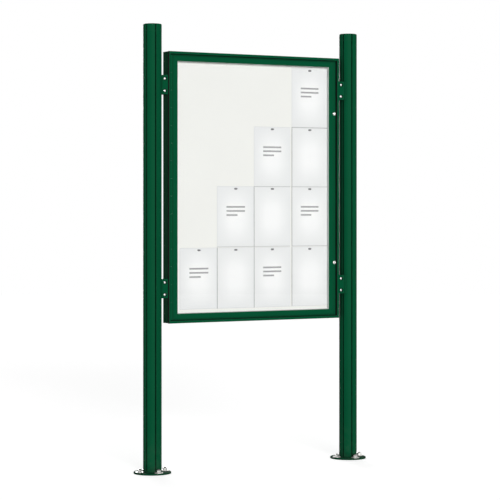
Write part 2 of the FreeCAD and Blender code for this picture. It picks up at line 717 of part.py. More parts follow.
def hinge_leaf(direction, first):
    """Leaf of the hinge: knuckles on the axis and a strip behind them, left (-1) or right (+1)."""
    x, y = HINGE_AXIS
    outer = x + direction * (HINGE_RADIUS + HINGE_SIDE_GAP)
    inner = outer - direction * HINGE_LEAF
    x0, x1 = min(outer, inner), max(outer, inner)
    clear = y + HINGE_RADIUS + HINGE_SIDE_GAP
    low, high = DOOR_BOTTOM + HINGE_END_INSET, DOOR_TOP - HINGE_END_INSET
    pieces = [box(x0, x1, clear, DOOR_REAR, low, high)]
    for z0, z1 in knuckle_spans(first):
        pieces.append(rod(HINGE_RADIUS, (x, y, z0), (x, y, z1)))
        pieces.append(box(x0, x1, y + HINGE_RADIUS / 2, clear + OVERRUN, z0, z1))
    bore = rod(HINGE_PIN_RADIUS + HINGE_CLEARANCE, (x, y, low - OVERRUN), (x, y, high + OVERRUN))
    leaf = joined(pieces).cut(bore)
    return leaf.cut(list(hinge_screws(direction)))


def hinge_screw_heights():
    """Heights of the screws of one leaf, spread evenly."""
    count = HINGE_KNUCKLES // 2
    low, high = DOOR_BOTTOM + HINGE_END_INSET, DOOR_TOP - HINGE_END_INSET
    return [low + (index + 0.5) * (high - low) / count for index in range(count)]


def hinge_screws(direction):
    """Flat-headed screws of one leaf, left (-1) or right (+1)."""
    x = HINGE_AXIS[0] + direction * (HINGE_RADIUS + HINGE_SIDE_GAP - HINGE_LEAF)
    y = (HINGE_AXIS[1] + HINGE_RADIUS + HINGE_SIDE_GAP + DOOR_REAR) / 2
    for height in hinge_screw_heights():
        yield countersunk((x, y, height), (direction, 0, 0), HINGE_SCREW_RADIUS,
                          HINGE_SCREW_HEAD_RADIUS, HINGE_SCREW_HEAD, HINGE_SCREW_LENGTH)


def hinge_pin():
    """Rod through all the knuckles."""
    x, y = HINGE_AXIS
    return rod(HINGE_PIN_RADIUS, (x, y, DOOR_BOTTOM + HINGE_END_INSET),
               (x, y, DOOR_TOP - HINGE_END_INSET))


def lock_housing(height):
    """Barrel through the door with a round head on its face."""
    front = DOOR_FRONT - LOCK_HEAD_THICKNESS
    head = rod(LOCK_HEAD_RADIUS, (LOCK_X, front, height), (LOCK_X, DOOR_FRONT, height))
    rim = [e for e in head.Edges if e.BoundBox.YMax < front + 0.1]
    head = head.makeChamfer(LOCK_HEAD_CHAMFER, rim)
    barrel = rod(LOCK_BARREL_RADIUS, (LOCK_X, DOOR_FRONT - OVERRUN, height),
                 (LOCK_X, CAM_FRONT - CAM_RUNNING_GAP, height))
    bore = rod(LOCK_PLUG_RADIUS + LOCK_CLEARANCE, (LOCK_X, front - OVERRUN, height),
               (LOCK_X, CAM_FRONT, height))
    return joined([head, barrel]).cut(bore)


def lock_plug(height):
    """Cylinder that turns in the lock, with the slot for the key."""
    front = DOOR_FRONT - LOCK_HEAD_THICKNESS + PLUG_RECESS
    plug = rod(LOCK_PLUG_RADIUS, (LOCK_X, front, height), (LOCK_X, CAM_FRONT, height))
    width, length, depth = KEY_SLOT
    slot = box(LOCK_X - width / 2, LOCK_X + width / 2, front - OVERRUN, front + depth,
               height - length / 2, height + length / 2)
    hole = rod(CAM_SCREW_RADIUS, (LOCK_X, CAM_FRONT - CAM_SCREW_LENGTH, height),
               (LOCK_X, CAM_FRONT, height))
    return plug.cut([slot, hole])


def lock_cam(height):
    """Cam that hangs down when the lock is open and turns behind the strike when it is shut."""
    half = CAM_WIDTH / 2
    end = height - CAM_REACH
    crown, corner = half * ROUND_END, CAM_CORNER_RADIUS
    strip = outline([(LOCK_X - half, height + half, crown), (LOCK_X - half, end, corner),
                     (LOCK_X + half, end, corner), (LOCK_X + half, height + half, crown)])
    cam = facing(strip, CAM_FRONT, CAM_REAR)
    front, rear = CAM_FRONT - OVERRUN, CAM_REAR + OVERRUN
    swing = rod(CAM_REACH, (LOCK_X, front, height), (LOCK_X, rear, height))
    hole = rod(CAM_SCREW_RADIUS, (LOCK_X, front, height), (LOCK_X, rear, height))
    return cam.common(swing).cut(hole)


def cam_screw(height):
    """Screw that holds the cam on its plug."""
    head = rod(CAM_SCREW_HEAD_RADIUS, (LOCK_X, CAM_REAR, height),
               (LOCK_X, CAM_REAR + CAM_SCREW_HEAD, height))
    shank = rod(CAM_SCREW_RADIUS, (LOCK_X, CAM_FRONT - CAM_SCREW_LENGTH, height),
                (LOCK_X, CAM_REAR + CAM_SCREW_HEAD, height))
    return joined([head, shank])


def lock_nuts():
    """Nuts that draw the locks against the face of the door."""
    for height in LOCK_HEIGHTS.values():
        yield hex_nut(LOCK_NUT_FLATS, LOCK_BARREL_RADIUS, (LOCK_X, DOOR_REAR, height),
                      (LOCK_X, DOOR_REAR + LOCK_NUT_THICKNESS, height))


def strike_plate(height):
    """Steel plate round the slot in the right wall, which the cam bears on."""
    plate = box(INNER_SIDE - STRIKE_THICKNESS, INNER_SIDE, STOP_REAR, STOP_REAR + STRIKE_DEPTH,
                height - STRIKE_HEIGHT / 2, height + STRIKE_HEIGHT / 2)
    slot = strike_slot(height, INNER_SIDE - STRIKE_THICKNESS - OVERRUN, INNER_SIDE + OVERRUN)
    return plate.cut([slot] + list(strike_screws()))


def strike_screws():
    """Flat-headed screws above and below the slot of each strike plate."""
    reach = STRIKE_HEIGHT / 2 - 2 * STRIKE_SCREW_RADIUS
    for height in LOCK_HEIGHTS.values():
        for z in (height - reach, height + reach):
            start = (INNER_SIDE - STRIKE_THICKNESS, STOP_REAR + STRIKE_DEPTH / 2, z)
            yield countersunk(start, (1, 0, 0), STRIKE_SCREW_RADIUS, STRIKE_SCREW_HEAD_RADIUS,
                              STRIKE_SCREW_HEAD, STRIKE_SCREW_LENGTH)


def display_panel():
    """White board that fills the case behind the door."""
    side = INNER_SIDE - PANEL_GAP
    low, high = CASE_BOTTOM + CASE_WALL + PANEL_GAP, CASE_TOP - CASE_WALL - PANEL_GAP
    return box(-side, side, PANEL_FRONT, PANEL_REAR, low, high)


def batten_places():
    """Distances across the case at which the battens stand."""
    span = 2 * (INNER_SIDE - BATTEN_END_INSET - BATTEN_FLANGE) - BATTEN_WIDTH
    return [-span / 2 + index * span / (BATTEN_COUNT - 1) for index in range(BATTEN_COUNT)]


def rivet_heights():
    """Heights of the rows of rivets."""
    low, high = CASE_BOTTOM + 3 * REAR_FLANGE_REACH, CASE_TOP - 3 * REAR_FLANGE_REACH
    return [low + index * (high - low) / (RIVET_ROWS - 1) for index in range(RIVET_ROWS)]


def panel_battens():
    """Upright hat sections between the rear cover and the panel, flanges on the panel."""
    low = CASE_BOTTOM + CASE_WALL + BATTEN_END_INSET
    high = CASE_TOP - CASE_WALL - BATTEN_END_INSET
    half, wall = BATTEN_WIDTH / 2, BATTEN_WALL
    rim, crown = half + BATTEN_FLANGE, COVER_FRONT - wall
    for x in batten_places():
        section = polygon([(x - rim, PANEL_REAR), (x - half + wall, PANEL_REAR),
                           (x - half + wall, crown), (x + half - wall, crown),
                           (x + half - wall, PANEL_REAR), (x + rim, PANEL_REAR),
                           (x + rim, PANEL_REAR + wall), (x + half, PANEL_REAR + wall),
                           (x + half, COVER_FRONT), (x - half, COVER_FRONT),
                           (x - half, PANEL_REAR + wall), (x - rim, PANEL_REAR + wall)])
        channel = upright(section, low, high)
        yield channel.cut([rivet_hole(x, z) for z in rivet_heights()])


def rivet_hole(x, z):
    """Bore of one rivet through a batten and the rear cover."""
    return rod(RIVET_RADIUS, (x, COVER_FRONT - BATTEN_WALL, z), (x, FLANGE_FRONT, z))


def rear_cover():
    """Sheet that closes the case from inside its rear flange."""
    side = INNER_SIDE - COVER_GAP
    low, high = CASE_BOTTOM + CASE_WALL + COVER_GAP, CASE_TOP - CASE_WALL - COVER_GAP
    sheet = box(-side, side, COVER_FRONT, FLANGE_FRONT, low, high)
    return sheet.cut([rivet_hole(x, z) for x in batten_places() for z in rivet_heights()])


def rivets():
    """Rivets that hold the battens to the rear cover."""
    for x in batten_places():
        for z in rivet_heights():
            dome = Part.makeCone(RIVET_HEAD_RADIUS, RIVET_HEAD_RADIUS / 2, RIVET_HEAD,
                                 Vector(x, FLANGE_FRONT, z), Vector(0, 1, 0))
            yield joined([rivet_hole(x, z), dome])


def sheet_places():
    """Lower left corner of each sheet, column by column from the left."""
    pitch_x, pitch_z = SHEET_WIDTH + SHEET_SPACING, SHEET_HEIGHT + SHEET_SPACING
    left = SHEET_GRID_OFFSET - GRID_WIDTH / 2
    for column, filled in enumerate(SHEETS_IN_COLUMN):
        for row in range(SHEET_ROWS - filled, SHEET_ROWS):
            yield left + column * pitch_x, SHEET_TOP - SHEET_HEIGHT - row * pitch_z


def sheets():
    """Upright sheets of paper on the panel."""
    for x, z in sheet_places():
        yield box(x, x + SHEET_WIDTH, PANEL_FRONT - SHEET_THICKNESS, PANEL_FRONT, z, z + SHEET_HEIGHT)


def magnets():
    """Oblong magnet near the top of each sheet."""
    rear = PANEL_FRONT - SHEET_THICKNESS
    for x, z in sheet_places():
        middle, height = x + SHEET_WIDTH / 2, z + SHEET_HEIGHT - MAGNET_DROP
        half_w, half_h = MAGNET_WIDTH / 2, MAGNET_HEIGHT / 2
        round_end = half_h * ROUND_END
        plan = outline([(middle - half_w, height - half_h, round_end),
                        (middle + half_w, height - half_h, round_end),
                        (middle + half_w, height + half_h, round_end),
                        (middle - half_w, height + half_h, round_end)])
        yield facing(plan, rear - MAGNET_THICKNESS, rear)


def clamp_screw_places(height):
    """Distance from the middle and height of each of the two screws of a clamp."""
    x = CASE_SIDE + CLAMP_SCREW_OFFSET
    return [(x, height + CLAMP_SCREW_PITCH / 2), (x, height - CLAMP_SCREW_PITCH / 2)]


def front_jaw(height, slot_angle):
    """Front jaw of a right-hand clamp, hooked into a post slot and a case groove.

    slot_angle is the turn from the front of the post to the slot.
    """
    centre = (POST_X, 0)
    low, high = height - JAW_HEIGHT / 2, height + JAW_HEIGHT / 2
    rear = -JAW_FRONT + JAW_THICKNESS
    wing_radius = POST_RADIUS + JAW_WING
    slab = box(CASE_SIDE, centre[0], -JAW_FRONT, rear, low, high)
    reach = math.radians(JAW_WING_ANGLE)
    inner = math.radians(slot_angle + JAW_WING_ROOT)
    far = 2 * POST_RADIUS
    wedge = upright(polygon([centre, (centre[0] - far * math.sin(inner), -far * math.cos(inner)),
                             (centre[0] - far * math.sin(reach), -far * math.cos(reach))]), low, high)
    wing = rod(wing_radius, (*centre, low), (*centre, high)).common(wedge)
    beyond_wing = box(centre[0] - wing_radius * math.sin(reach), centre[0], -far, far, low, high)
    body = joined([slab, wing]).cut([
        rod(POST_RADIUS, (*centre, low - OVERRUN), (*centre, high + OVERRUN)), beyond_wing.cut(wedge)])
    hook = box(-SLOT_MOUTH / 2 + JAW_FIT, SLOT_MOUTH / 2 - JAW_FIT, -POST_RADIUS - OVERRUN,
               -POST_RADIUS + JAW_HOOK_DEPTH, low, high)
    hook = turned(hook, -slot_angle)
    hook.translate(Vector(*centre, 0))
    half = CLAMP_GROOVE_WIDTH / 2 - JAW_FIT
    tongue = box(CASE_SIDE - JAW_TONGUE, CASE_SIDE + OVERRUN, -CLAMP_GROOVE_OFFSET - half,
                 -CLAMP_GROOVE_OFFSET + half, low, high)
    left = CASE_SIDE - JAW_TONGUE
    right = centre[0] - POST_RADIUS * math.sin(reach) + JAW_POST_OVERLAP
    rounding = JAW_CORNER_RADIUS
    plate = facing(outline([(left, low, rounding), (right, low, rounding),
                            (right, high, rounding), (left, high, rounding)]), -far, far)
    jaw = joined([body, hook, tongue]).common(plate)
    collars = [collar(x, z) for x, z in clamp_screw_places(height)]
    jaw = joined([jaw] + collars)
    for x, z in clamp_screw_places(height):
        seat = -JAW_FRONT + CLAMP_SEAT_DEPTH
        jaw = jaw.cut([rod(CLAMP_HOLE_RADIUS, (x, -far, z), (x, far, z)),
                       rod(CLAMP_SEAT_RADIUS, (x, -far, z), (x, seat, z))])
    return jaw


def collar(x, z):
    """Low tapered ring on the face of a jaw round a screw's seat."""
    return Part.makeCone(CLAMP_COLLAR_RADIUS, CLAMP_COLLAR_RADIUS - CLAMP_COLLAR_HEIGHT,
                         2 * CLAMP_COLLAR_HEIGHT, Vector(x, CLAMP_COLLAR_HEIGHT - JAW_FRONT, z),
                         Vector(0, -1, 0))


def jaw(side, height, depth):
    """Jaw on one side of the case, in front (+1) or behind (-1)."""
    slot_angle = 360 / SLOT_COUNT - SLOT_TURN * side * depth
    return mirrored(mirrored(front_jaw(height, slot_angle), side), depth, "y")


def clamp_screws():
    """Domed screws through both jaws of every clamp."""
    seat = -JAW_FRONT + CLAMP_SEAT_DEPTH
    for side in SIDES.values():
        for height in CLAMP_HEIGHTS.values():
            for x, z in clamp_screw_places(height):
                head = rod(CLAMP_HEAD_RADIUS, (side * x, seat - CLAMP_HEAD_HEIGHT, z), (side * x, seat, z))
                rim = [e for e in head.Edges if e.BoundBox.YMax < seat - CLAMP_HEAD_HEIGHT + 0.1]
                head = head.makeFillet(CLAMP_HEAD_EDGE, rim)
                end = JAW_FRONT - CLAMP_SEAT_DEPTH + CLAMP_NUT_HEIGHT
                shank = rod(CLAMP_SCREW_RADIUS, (side * x, seat - OVERRUN, z), (side * x, end, z))
                yield joined([head, shank])


def clamp_nuts():
    """Nuts in the seats of the rear jaws."""
    seat = JAW_FRONT - CLAMP_SEAT_DEPTH
    for side in SIDES.values():
        for height in CLAMP_HEIGHTS.values():
            for x, z in clamp_screw_places(height):
                yield hex_nut(CLAMP_NUT_FLATS, CLAMP_SCREW_RADIUS, (side * x, seat, z),
                              (side * x, seat + CLAMP_NUT_HEIGHT, z))


def all_parts():
    """Every node name with its shape."""
    parts = {}
    for name, side in SIDES.items():
        parts[name + "_post"] = post(side)
        parts[name + "_post_cap"] = post_cap(side)
        parts[name + "_foot_plate"] = foot_plate(side)
        parts[name + "_foot_spigot"] = foot_spigot(side)
        for level, height in CLAMP_HEIGHTS.items():
            for place, depth in (("front", 1), ("rear", -1)):
                parts["_".join((level, name, place, "jaw"))] = jaw(side, height, depth)
    for edge in FRAME_TURNS:
        parts["case_" + edge] = case_bar(edge)
        parts["door_" + edge] = door_bar(edge)
    for level, height in LOCK_HEIGHTS.items():
        parts[level + "_lock_housing"] = lock_housing(height)
        parts[level + "_lock_plug"] = lock_plug(height)
        parts[level + "_lock_cam"] = lock_cam(height)
        parts[level + "_cam_screw"] = cam_screw(height)
        parts[level + "_strike_plate"] = strike_plate(height)
    groups = {
        "post_grub_screws": grub_screws(), "anchor_washers": anchor_washers(),
        "anchor_nuts": anchor_nuts(), "case_corner_cleats": case_cleats(),
        "door_corner_cleats": door_cleats(), "glazing_gasket": gasket_strips(),
        "glazing_beads": glazing_beads(), "door_seal": seal_strips(),
        "case_hinge_screws": hinge_screws(-1), "door_hinge_screws": hinge_screws(1),
        "lock_nuts": lock_nuts(), "strike_screws": strike_screws(),
        "panel_battens": panel_battens(), "rear_cover_rivets": rivets(),
        "paper_sheets": sheets(), "sheet_magnets": magnets(),
        "clamp_screws": clamp_screws(), "clamp_nuts": clamp_nuts()}
    for name, solids in groups.items():
        parts[name] = Part.makeCompound(list(solids))
    parts["case_hinge_leaf"] = hinge_leaf(-1, 0)
    parts["door_hinge_leaf"] = hinge_leaf(1, 1)
    parts["hinge_pin"] = hinge_pin()
    parts["corner_strip"] = corner_strip()
    parts["glazing"] = glazing()
    parts["display_panel"] = display_panel()
    parts["rear_cover"] = rear_cover()
    return parts


os.makedirs("parts", exist_ok=True)
for node, shape in all_parts().items():
    shape.exportStep("parts/" + node + ".step")
    print(node, "solids", len(shape.Solids), "volume", round(shape.Volume, 1))
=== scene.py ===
import enum
import json
import logging
import math
from dataclasses import dataclass, field
from typing import Callable, ClassVar, Iterable, Sequence

import bmesh
import bpy
from mathutils import Matrix, Vector


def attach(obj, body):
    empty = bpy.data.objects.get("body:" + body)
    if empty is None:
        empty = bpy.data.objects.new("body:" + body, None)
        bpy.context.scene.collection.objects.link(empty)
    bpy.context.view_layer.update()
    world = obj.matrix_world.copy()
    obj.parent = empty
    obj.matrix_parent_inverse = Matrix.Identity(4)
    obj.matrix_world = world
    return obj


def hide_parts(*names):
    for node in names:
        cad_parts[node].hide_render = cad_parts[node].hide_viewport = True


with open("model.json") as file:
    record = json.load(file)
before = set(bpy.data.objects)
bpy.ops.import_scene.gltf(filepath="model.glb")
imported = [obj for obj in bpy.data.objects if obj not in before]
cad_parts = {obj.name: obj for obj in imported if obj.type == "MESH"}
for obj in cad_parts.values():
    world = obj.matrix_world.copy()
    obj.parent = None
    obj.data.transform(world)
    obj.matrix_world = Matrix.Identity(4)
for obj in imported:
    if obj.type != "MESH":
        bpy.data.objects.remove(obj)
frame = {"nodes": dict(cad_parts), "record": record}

LOG = logging.getLogger("notice_board")
SMOOTH_DEGREES = 32.0
PAPER_SMOOTH_DEGREES = 60.0
MERGE_DISTANCE = 1e-6
NEARLY_ZERO = 1e-9
SORT_DECIMALS = 3
GRID_DECIMALS = 4
TURN_DECIMALS = 6
WHITE = (1.0, 1.0, 1.0)
LEVELS = ("upper", "lower")
SIDES = ("left", "right")
Point = tuple[float, float, float]
Colour = tuple[float, float, float]
Cell = tuple[int, int]
Around = Callable[[float], float]
Socket = bpy.types.NodeSocket
Sockets = bpy.types.NodeOutputs
Shape = bmesh.types.BMesh


class Body(enum.Enum):
    """The rigid bodies of the frame."""

    STAND = "stand"
    DOOR = "door"
    UPPER_LOCK = "upper_lock"
    LOWER_LOCK = "lower_lock"


class Slot(enum.Enum):
    """The material slots of the record."""

    GREEN_ALUMINIUM = "green_aluminium"
    GREEN_STEEL = "green_steel"
    ALUMINIUM = "plain_aluminium"
    ZINC = "zinc_steel"
    STAINLESS = "stainless_steel"
    CHROME = "lock_chrome"
    BOARD = "white_board"
    PAPER = "paper"
    MAGNET = "magnet"
    GLASS = "clear_glass"
    BLACK_RUBBER = "black_rubber"
    GREY_RUBBER = "grey_rubber"


class Drive(enum.Enum):
    """The recess that a screw is turned by."""

    HEXAGON = "hexagon socket"
    CROSS = "cross recess"
    KEYWAY = "flat key slot"


class Facing(enum.Enum):
    """Where the face of a pattern looks. Its body runs the other way."""

    FRONT = (0.0, -1.0, 0.0)
    REAR = (0.0, 1.0, 0.0)
    LEFT = (-1.0, 0.0, 0.0)
    RIGHT = (1.0, 0.0, 0.0)
    UP = (0.0, 0.0, 1.0)


class Kind(enum.Enum):
    """What a socket of a node group carries."""

    NUMBER = "NodeSocketFloat"
    WHOLE = "NodeSocketInt"
    COLOUR = "NodeSocketColor"
    VECTOR = "NodeSocketVector"
    GEOMETRY = "NodeSocketGeometry"
    OBJECT = "NodeSocketObject"
    MATERIAL = "NodeSocketMaterial"


def from_screen(*values: int) -> Colour:
    """Turn a screen colour into the linear values that a shader takes.

    Args:
        values: Red, green and blue, each 0 to 255.

    Returns:
        The linear colour, each value 0 to 1.
    """
    shares = [value / 255 for value in values]
    return tuple(share / 12.92 if share <= 0.04045 else ((share + 0.055) / 1.055) ** 2.4
                 for share in shares)


def scaled(colour: Colour, share: float) -> Colour:
    """Make a colour darker or paler, with no value above 1."""
    return tuple(min(1.0, value * share) for value in colour)


class Tree:
    """Adds nodes and links to one shader or geometry node tree."""

    def __init__(self, tree: bpy.types.NodeTree) -> None:
        """Keep the tree to build in."""
        self.tree = tree

    def feed(self, target: Socket, value: object) -> None:
        """Link a socket to an input, or set the input to a value.

        Args:
            target: The input.
            value: A socket to link from, a colour of three values or another value.
        """
        if isinstance(value, bpy.types.NodeSocket):
            self.tree.links.new(value, target)
        else:
            target.default_value = (*value, 1.0) if target.type == "RGBA" else value

    def fill(self, node: bpy.types.Node, inputs: dict[str | int, object]) -> None:
        """Feed several inputs of a node, each by its name or number."""
        for name, value in inputs.items():
            self.feed(node.inputs[name], value)

    def add(self, kind: str, inputs: dict[str | int, object] | None = None,
            **settings: object) -> bpy.types.Node:
        """Add a node.

        Args:
            kind: The node's type.
            inputs: Input names or numbers, each with a value or a socket to link from.
            settings: The node's own settings.

        Returns:
            The new node.
        """
        node = self.tree.nodes.new(kind)
        for name, value in settings.items():
            setattr(node, name, value)
        self.fill(node, inputs or {})
        return node

    def group(self, tree: bpy.types.NodeTree, inputs: dict[str | int, object]) -> Sockets:
        """Place a shared effect with values of its own."""
        return self.add("ShaderNodeGroup", inputs, node_tree=tree).outputs

    def math(self, operation: str, first: object, *others: object) -> Socket:
        """Work out one number.

        Args:
            operation: What is done.
            first: The first number.
            others: The numbers that follow, taken in one after another.

        Returns:
            The result.
        """
        for other in others or (0.0,):
            first = self.add("ShaderNodeMath", {0: first, 1: other},
                             operation=operation).outputs[0]
        return first

    def mix(self, factor: object, first: object, second: object) -> Socket:
        """Blend two colours by a factor."""
        return self.add("ShaderNodeMix", {"Factor": factor, 6: first, 7: second},
                        data_type="RGBA").outputs[2]

    def ramp(self, value: object, low: float, high: float, start: float = 0.0,
             end: float = 1.0) -> Socket:
        """Map a value between two limits onto another range, clamped."""
        limits = {"From Min": low, "From Max": high, "To Min": start, "To Max": end}
        return self.add("ShaderNodeMapRange", {"Value": value, **limits}).outputs["Result"]

    def noise(self, place: object, scale: object, detail: float) -> Socket:
        """Soft noise from 0 to 1 at a place."""
        inputs = {"Vector": place, "Scale": scale, "Detail": detail}
        return self.add("ShaderNodeTexNoise", inputs).outputs[0]

    def bump(self, height: Socket, distance: float) -> Socket:
        """Turn a height into a bumped normal."""
        inputs = {"Height": height, "Strength": 1.0, "Distance": distance}
        return self.add("ShaderNodeBump", inputs).outputs["Normal"]

    def place(self) -> Socket:
        """Place on the object, which sits at the origin of the frame."""
        return self.add("ShaderNodeTexCoord").outputs["Object"]


def new_group(name: str, kind: str, inputs: dict[str, Kind],
              outputs: dict[str, Kind]) -> tuple[Tree, Sockets, bpy.types.Node]:
    """Start a node group.

    Args:
        name: The group's name.
        kind: The type of its tree.
        inputs: Input names with what they carry.
        outputs: Output names with what they carry.

    Returns:
        The tree builder, the inputs to link from and the node to link the outputs to.
    """
    tree = bpy.data.node_groups.new(name, kind)
    for way, sockets in (("INPUT", inputs), ("OUTPUT", outputs)):
        for label, carried in sockets.items():
            tree.interface.new_socket(label, in_out=way, socket_type=carried.value)
    build = Tree(tree)
    return build, build.add("NodeGroupInput").outputs, build.add("NodeGroupOutput")


@dataclass(frozen=True)
class Effect:
    """Shader node group that several finishes share."""

    name: ClassVar[str]
    inputs: ClassVar[dict[str, Kind]]
    outputs: ClassVar[dict[str, Kind]]

    def make(self) -> bpy.types.NodeTree:
        """Build the group.

        Returns:
            The group.
        """
        build, given, made = new_group(self.name, "ShaderNodeTree", self.inputs, self.outputs)
        build.fill(made, self.work(build, given))
        return build.tree

    def work(self, build: Tree, given: Sockets) -> dict[str, Socket]:
        """Lay the nodes that lead from the group's inputs to its outputs."""
        raise NotImplementedError


@dataclass(frozen=True)
class EdgeLight(Effect):
    """Rounds sharp edges in the shading and tells where they are."""

    name: ClassVar[str] = "edge_light"
    inputs: ClassVar[dict[str, Kind]] = {"Radius": Kind.NUMBER, "Normal": Kind.VECTOR}
    outputs: ClassVar[dict[str, Kind]] = {"Normal": Kind.VECTOR, "Edge": Kind.NUMBER}
    samples: int = 6
    flat: float = 0.995
    turned: float = 0.9

    def work(self, build: Tree, given: Sockets) -> dict[str, Socket]:
        """Compare the rounded normal with the plain one.

        Args:
            build: The tree builder.
            given: The group's inputs.

        Returns:
            The rounded normal with the bump on it, and the mask of the edges.
        """
        rounded = build.add("ShaderNodeBevel", {"Radius": given["Radius"],
                                                "Normal": given["Normal"]}, samples=self.samples)
        plain = build.add("ShaderNodeBevel", {"Radius": given["Radius"]}, samples=self.samples)
        surface = build.add("ShaderNodeNewGeometry").outputs["Normal"]
        match = build.add("ShaderNodeVectorMath", {0: plain.outputs[0], 1: surface},
                          operation="DOT_PRODUCT").outputs["Value"]
        return {"Normal": rounded.outputs[0], "Edge": build.ramp(match, self.flat, self.turned)}


@dataclass(frozen=True)
class GroundDust(Effect):
    """Pale dust that thins out with height above the ground."""

    name: ClassVar[str] = "ground_dust"
    inputs: ClassVar[dict[str, Kind]] = {"Colour": Kind.COLOUR, "Dust": Kind.COLOUR,
                                         "Amount": Kind.NUMBER}
    outputs: ClassVar[dict[str, Kind]] = {"Colour": Kind.COLOUR}
    reach: float = 0.22
    patch_scale: float = 38.0
    patch_detail: float = 5.0
    bare: float = 0.35
    covered: float = 0.7

    def work(self, build: Tree, given: Sockets) -> dict[str, Socket]:
        """Lay patches of dust over the colour.

        Args:
            build: The tree builder.
            given: The group's inputs.

        Returns:
            The dusty colour.
        """
        place = build.place()
        height = build.add("ShaderNodeSeparateXYZ", {0: place}).outputs["Z"]
        patches = build.noise(place, self.patch_scale, self.patch_detail)
        mask = build.math("MULTIPLY", build.ramp(height, self.reach, 0.0),
                          build.ramp(patches, self.bare, self.covered), given["Amount"])
        return {"Colour": build.mix(mask, given["Colour"], given["Dust"])}


@dataclass(frozen=True)
class Crevice(Effect):
    """Painted shade in grooves, slots and inner corners, and painted shade where pieces stand
    close.
    """

    name: ClassVar[str] = "crevice"
    inputs: ClassVar[dict[str, Kind]] = {
        "Colour": Kind.COLOUR, "Shade colour": Kind.COLOUR, "Reach": Kind.NUMBER,
        "Amount": Kind.NUMBER, "Shade": Kind.NUMBER}
    outputs: ClassVar[dict[str, Kind]] = {"Colour": Kind.COLOUR}
    samples: int = 8
    hollow_shade_from: float = 0.8
    hollow_shade_full: float = 0.3
    shade_reach: float = 0.05
    shade_from: float = 0.92
    shade_full: float = 0.42

    def work(self, build: Tree, given: Sockets) -> dict[str, Socket]:
        """Paint shade into the colour where little light gets in.

        Args:
            build: The tree builder.
            given: The group's inputs.

        Returns:
            The colour darkened by painted shade.
        """
        # Painted shade where the piece's own hollows keep light out.
        own = build.add("ShaderNodeAmbientOcclusion", {"Distance": given["Reach"]},
                        samples=self.samples, only_local=True).outputs["AO"]
        # Painted shade where other pieces stand close.
        near = build.add("ShaderNodeAmbientOcclusion", {"Distance": self.shade_reach},
                         samples=self.samples).outputs["AO"]
        hollow_shade = build.math("MULTIPLY", build.ramp(own, self.hollow_shade_from, self.hollow_shade_full),
                           given["Amount"])
        shade = build.math("MULTIPLY", build.ramp(near, self.shade_from, self.shade_full),
                           given["Shade"])
        mask = build.math("MAXIMUM", hollow_shade, shade)
        return {"Colour": build.mix(mask, given["Colour"], given["Shade colour"])}


@dataclass(frozen=True)
class Mottle(Effect):
    """Slow changes of tone over a surface, from -1 to 1, with a fine grain on top."""

    name: ClassVar[str] = "mottle"
    inputs: ClassVar[dict[str, Kind]] = {"Broad": Kind.NUMBER, "Fine": Kind.NUMBER}
    outputs: ClassVar[dict[str, Kind]] = {"Tone": Kind.NUMBER, "Height": Kind.NUMBER}
    broad_detail: float = 4.0
    fine_detail: float = 2.0
    darkest: float = 0.25
    palest: float = 0.75

    def work(self, build: Tree, given: Sockets) -> dict[str, Socket]:
        """Lay a broad and a fine noise on the object.

        Args:
            build: The tree builder.
            given: The group's inputs.

        Returns:
            The tone and the height of the grain.
        """
        place = build.place()
        broad = build.noise(place, given["Broad"], self.broad_detail)
        return {"Tone": build.ramp(broad, self.darkest, self.palest, -1.0, 1.0),
                "Height": build.noise(place, given["Fine"], self.fine_detail)}


@dataclass
class Effects:
    """The shared node groups, each built once."""

    edge_light: bpy.types.NodeTree = field(default_factory=EdgeLight().make)
    ground_dust: bpy.types.NodeTree = field(default_factory=GroundDust().make)
    crevice: bpy.types.NodeTree = field(default_factory=Crevice().make)
    mottle: bpy.types.NodeTree = field(default_factory=Mottle().make)


def new_material(name: str) -> tuple[bpy.types.Material, Tree, bpy.types.Node]:
    """Start a material.

    Args:
        name: The material's name.

    Returns:
        The material, its tree builder and its Principled shader.
    """
    material = bpy.data.materials.new(name)
    material.use_nodes = True
    return material, Tree(material.node_tree), material.node_tree.nodes["Principled BSDF"]


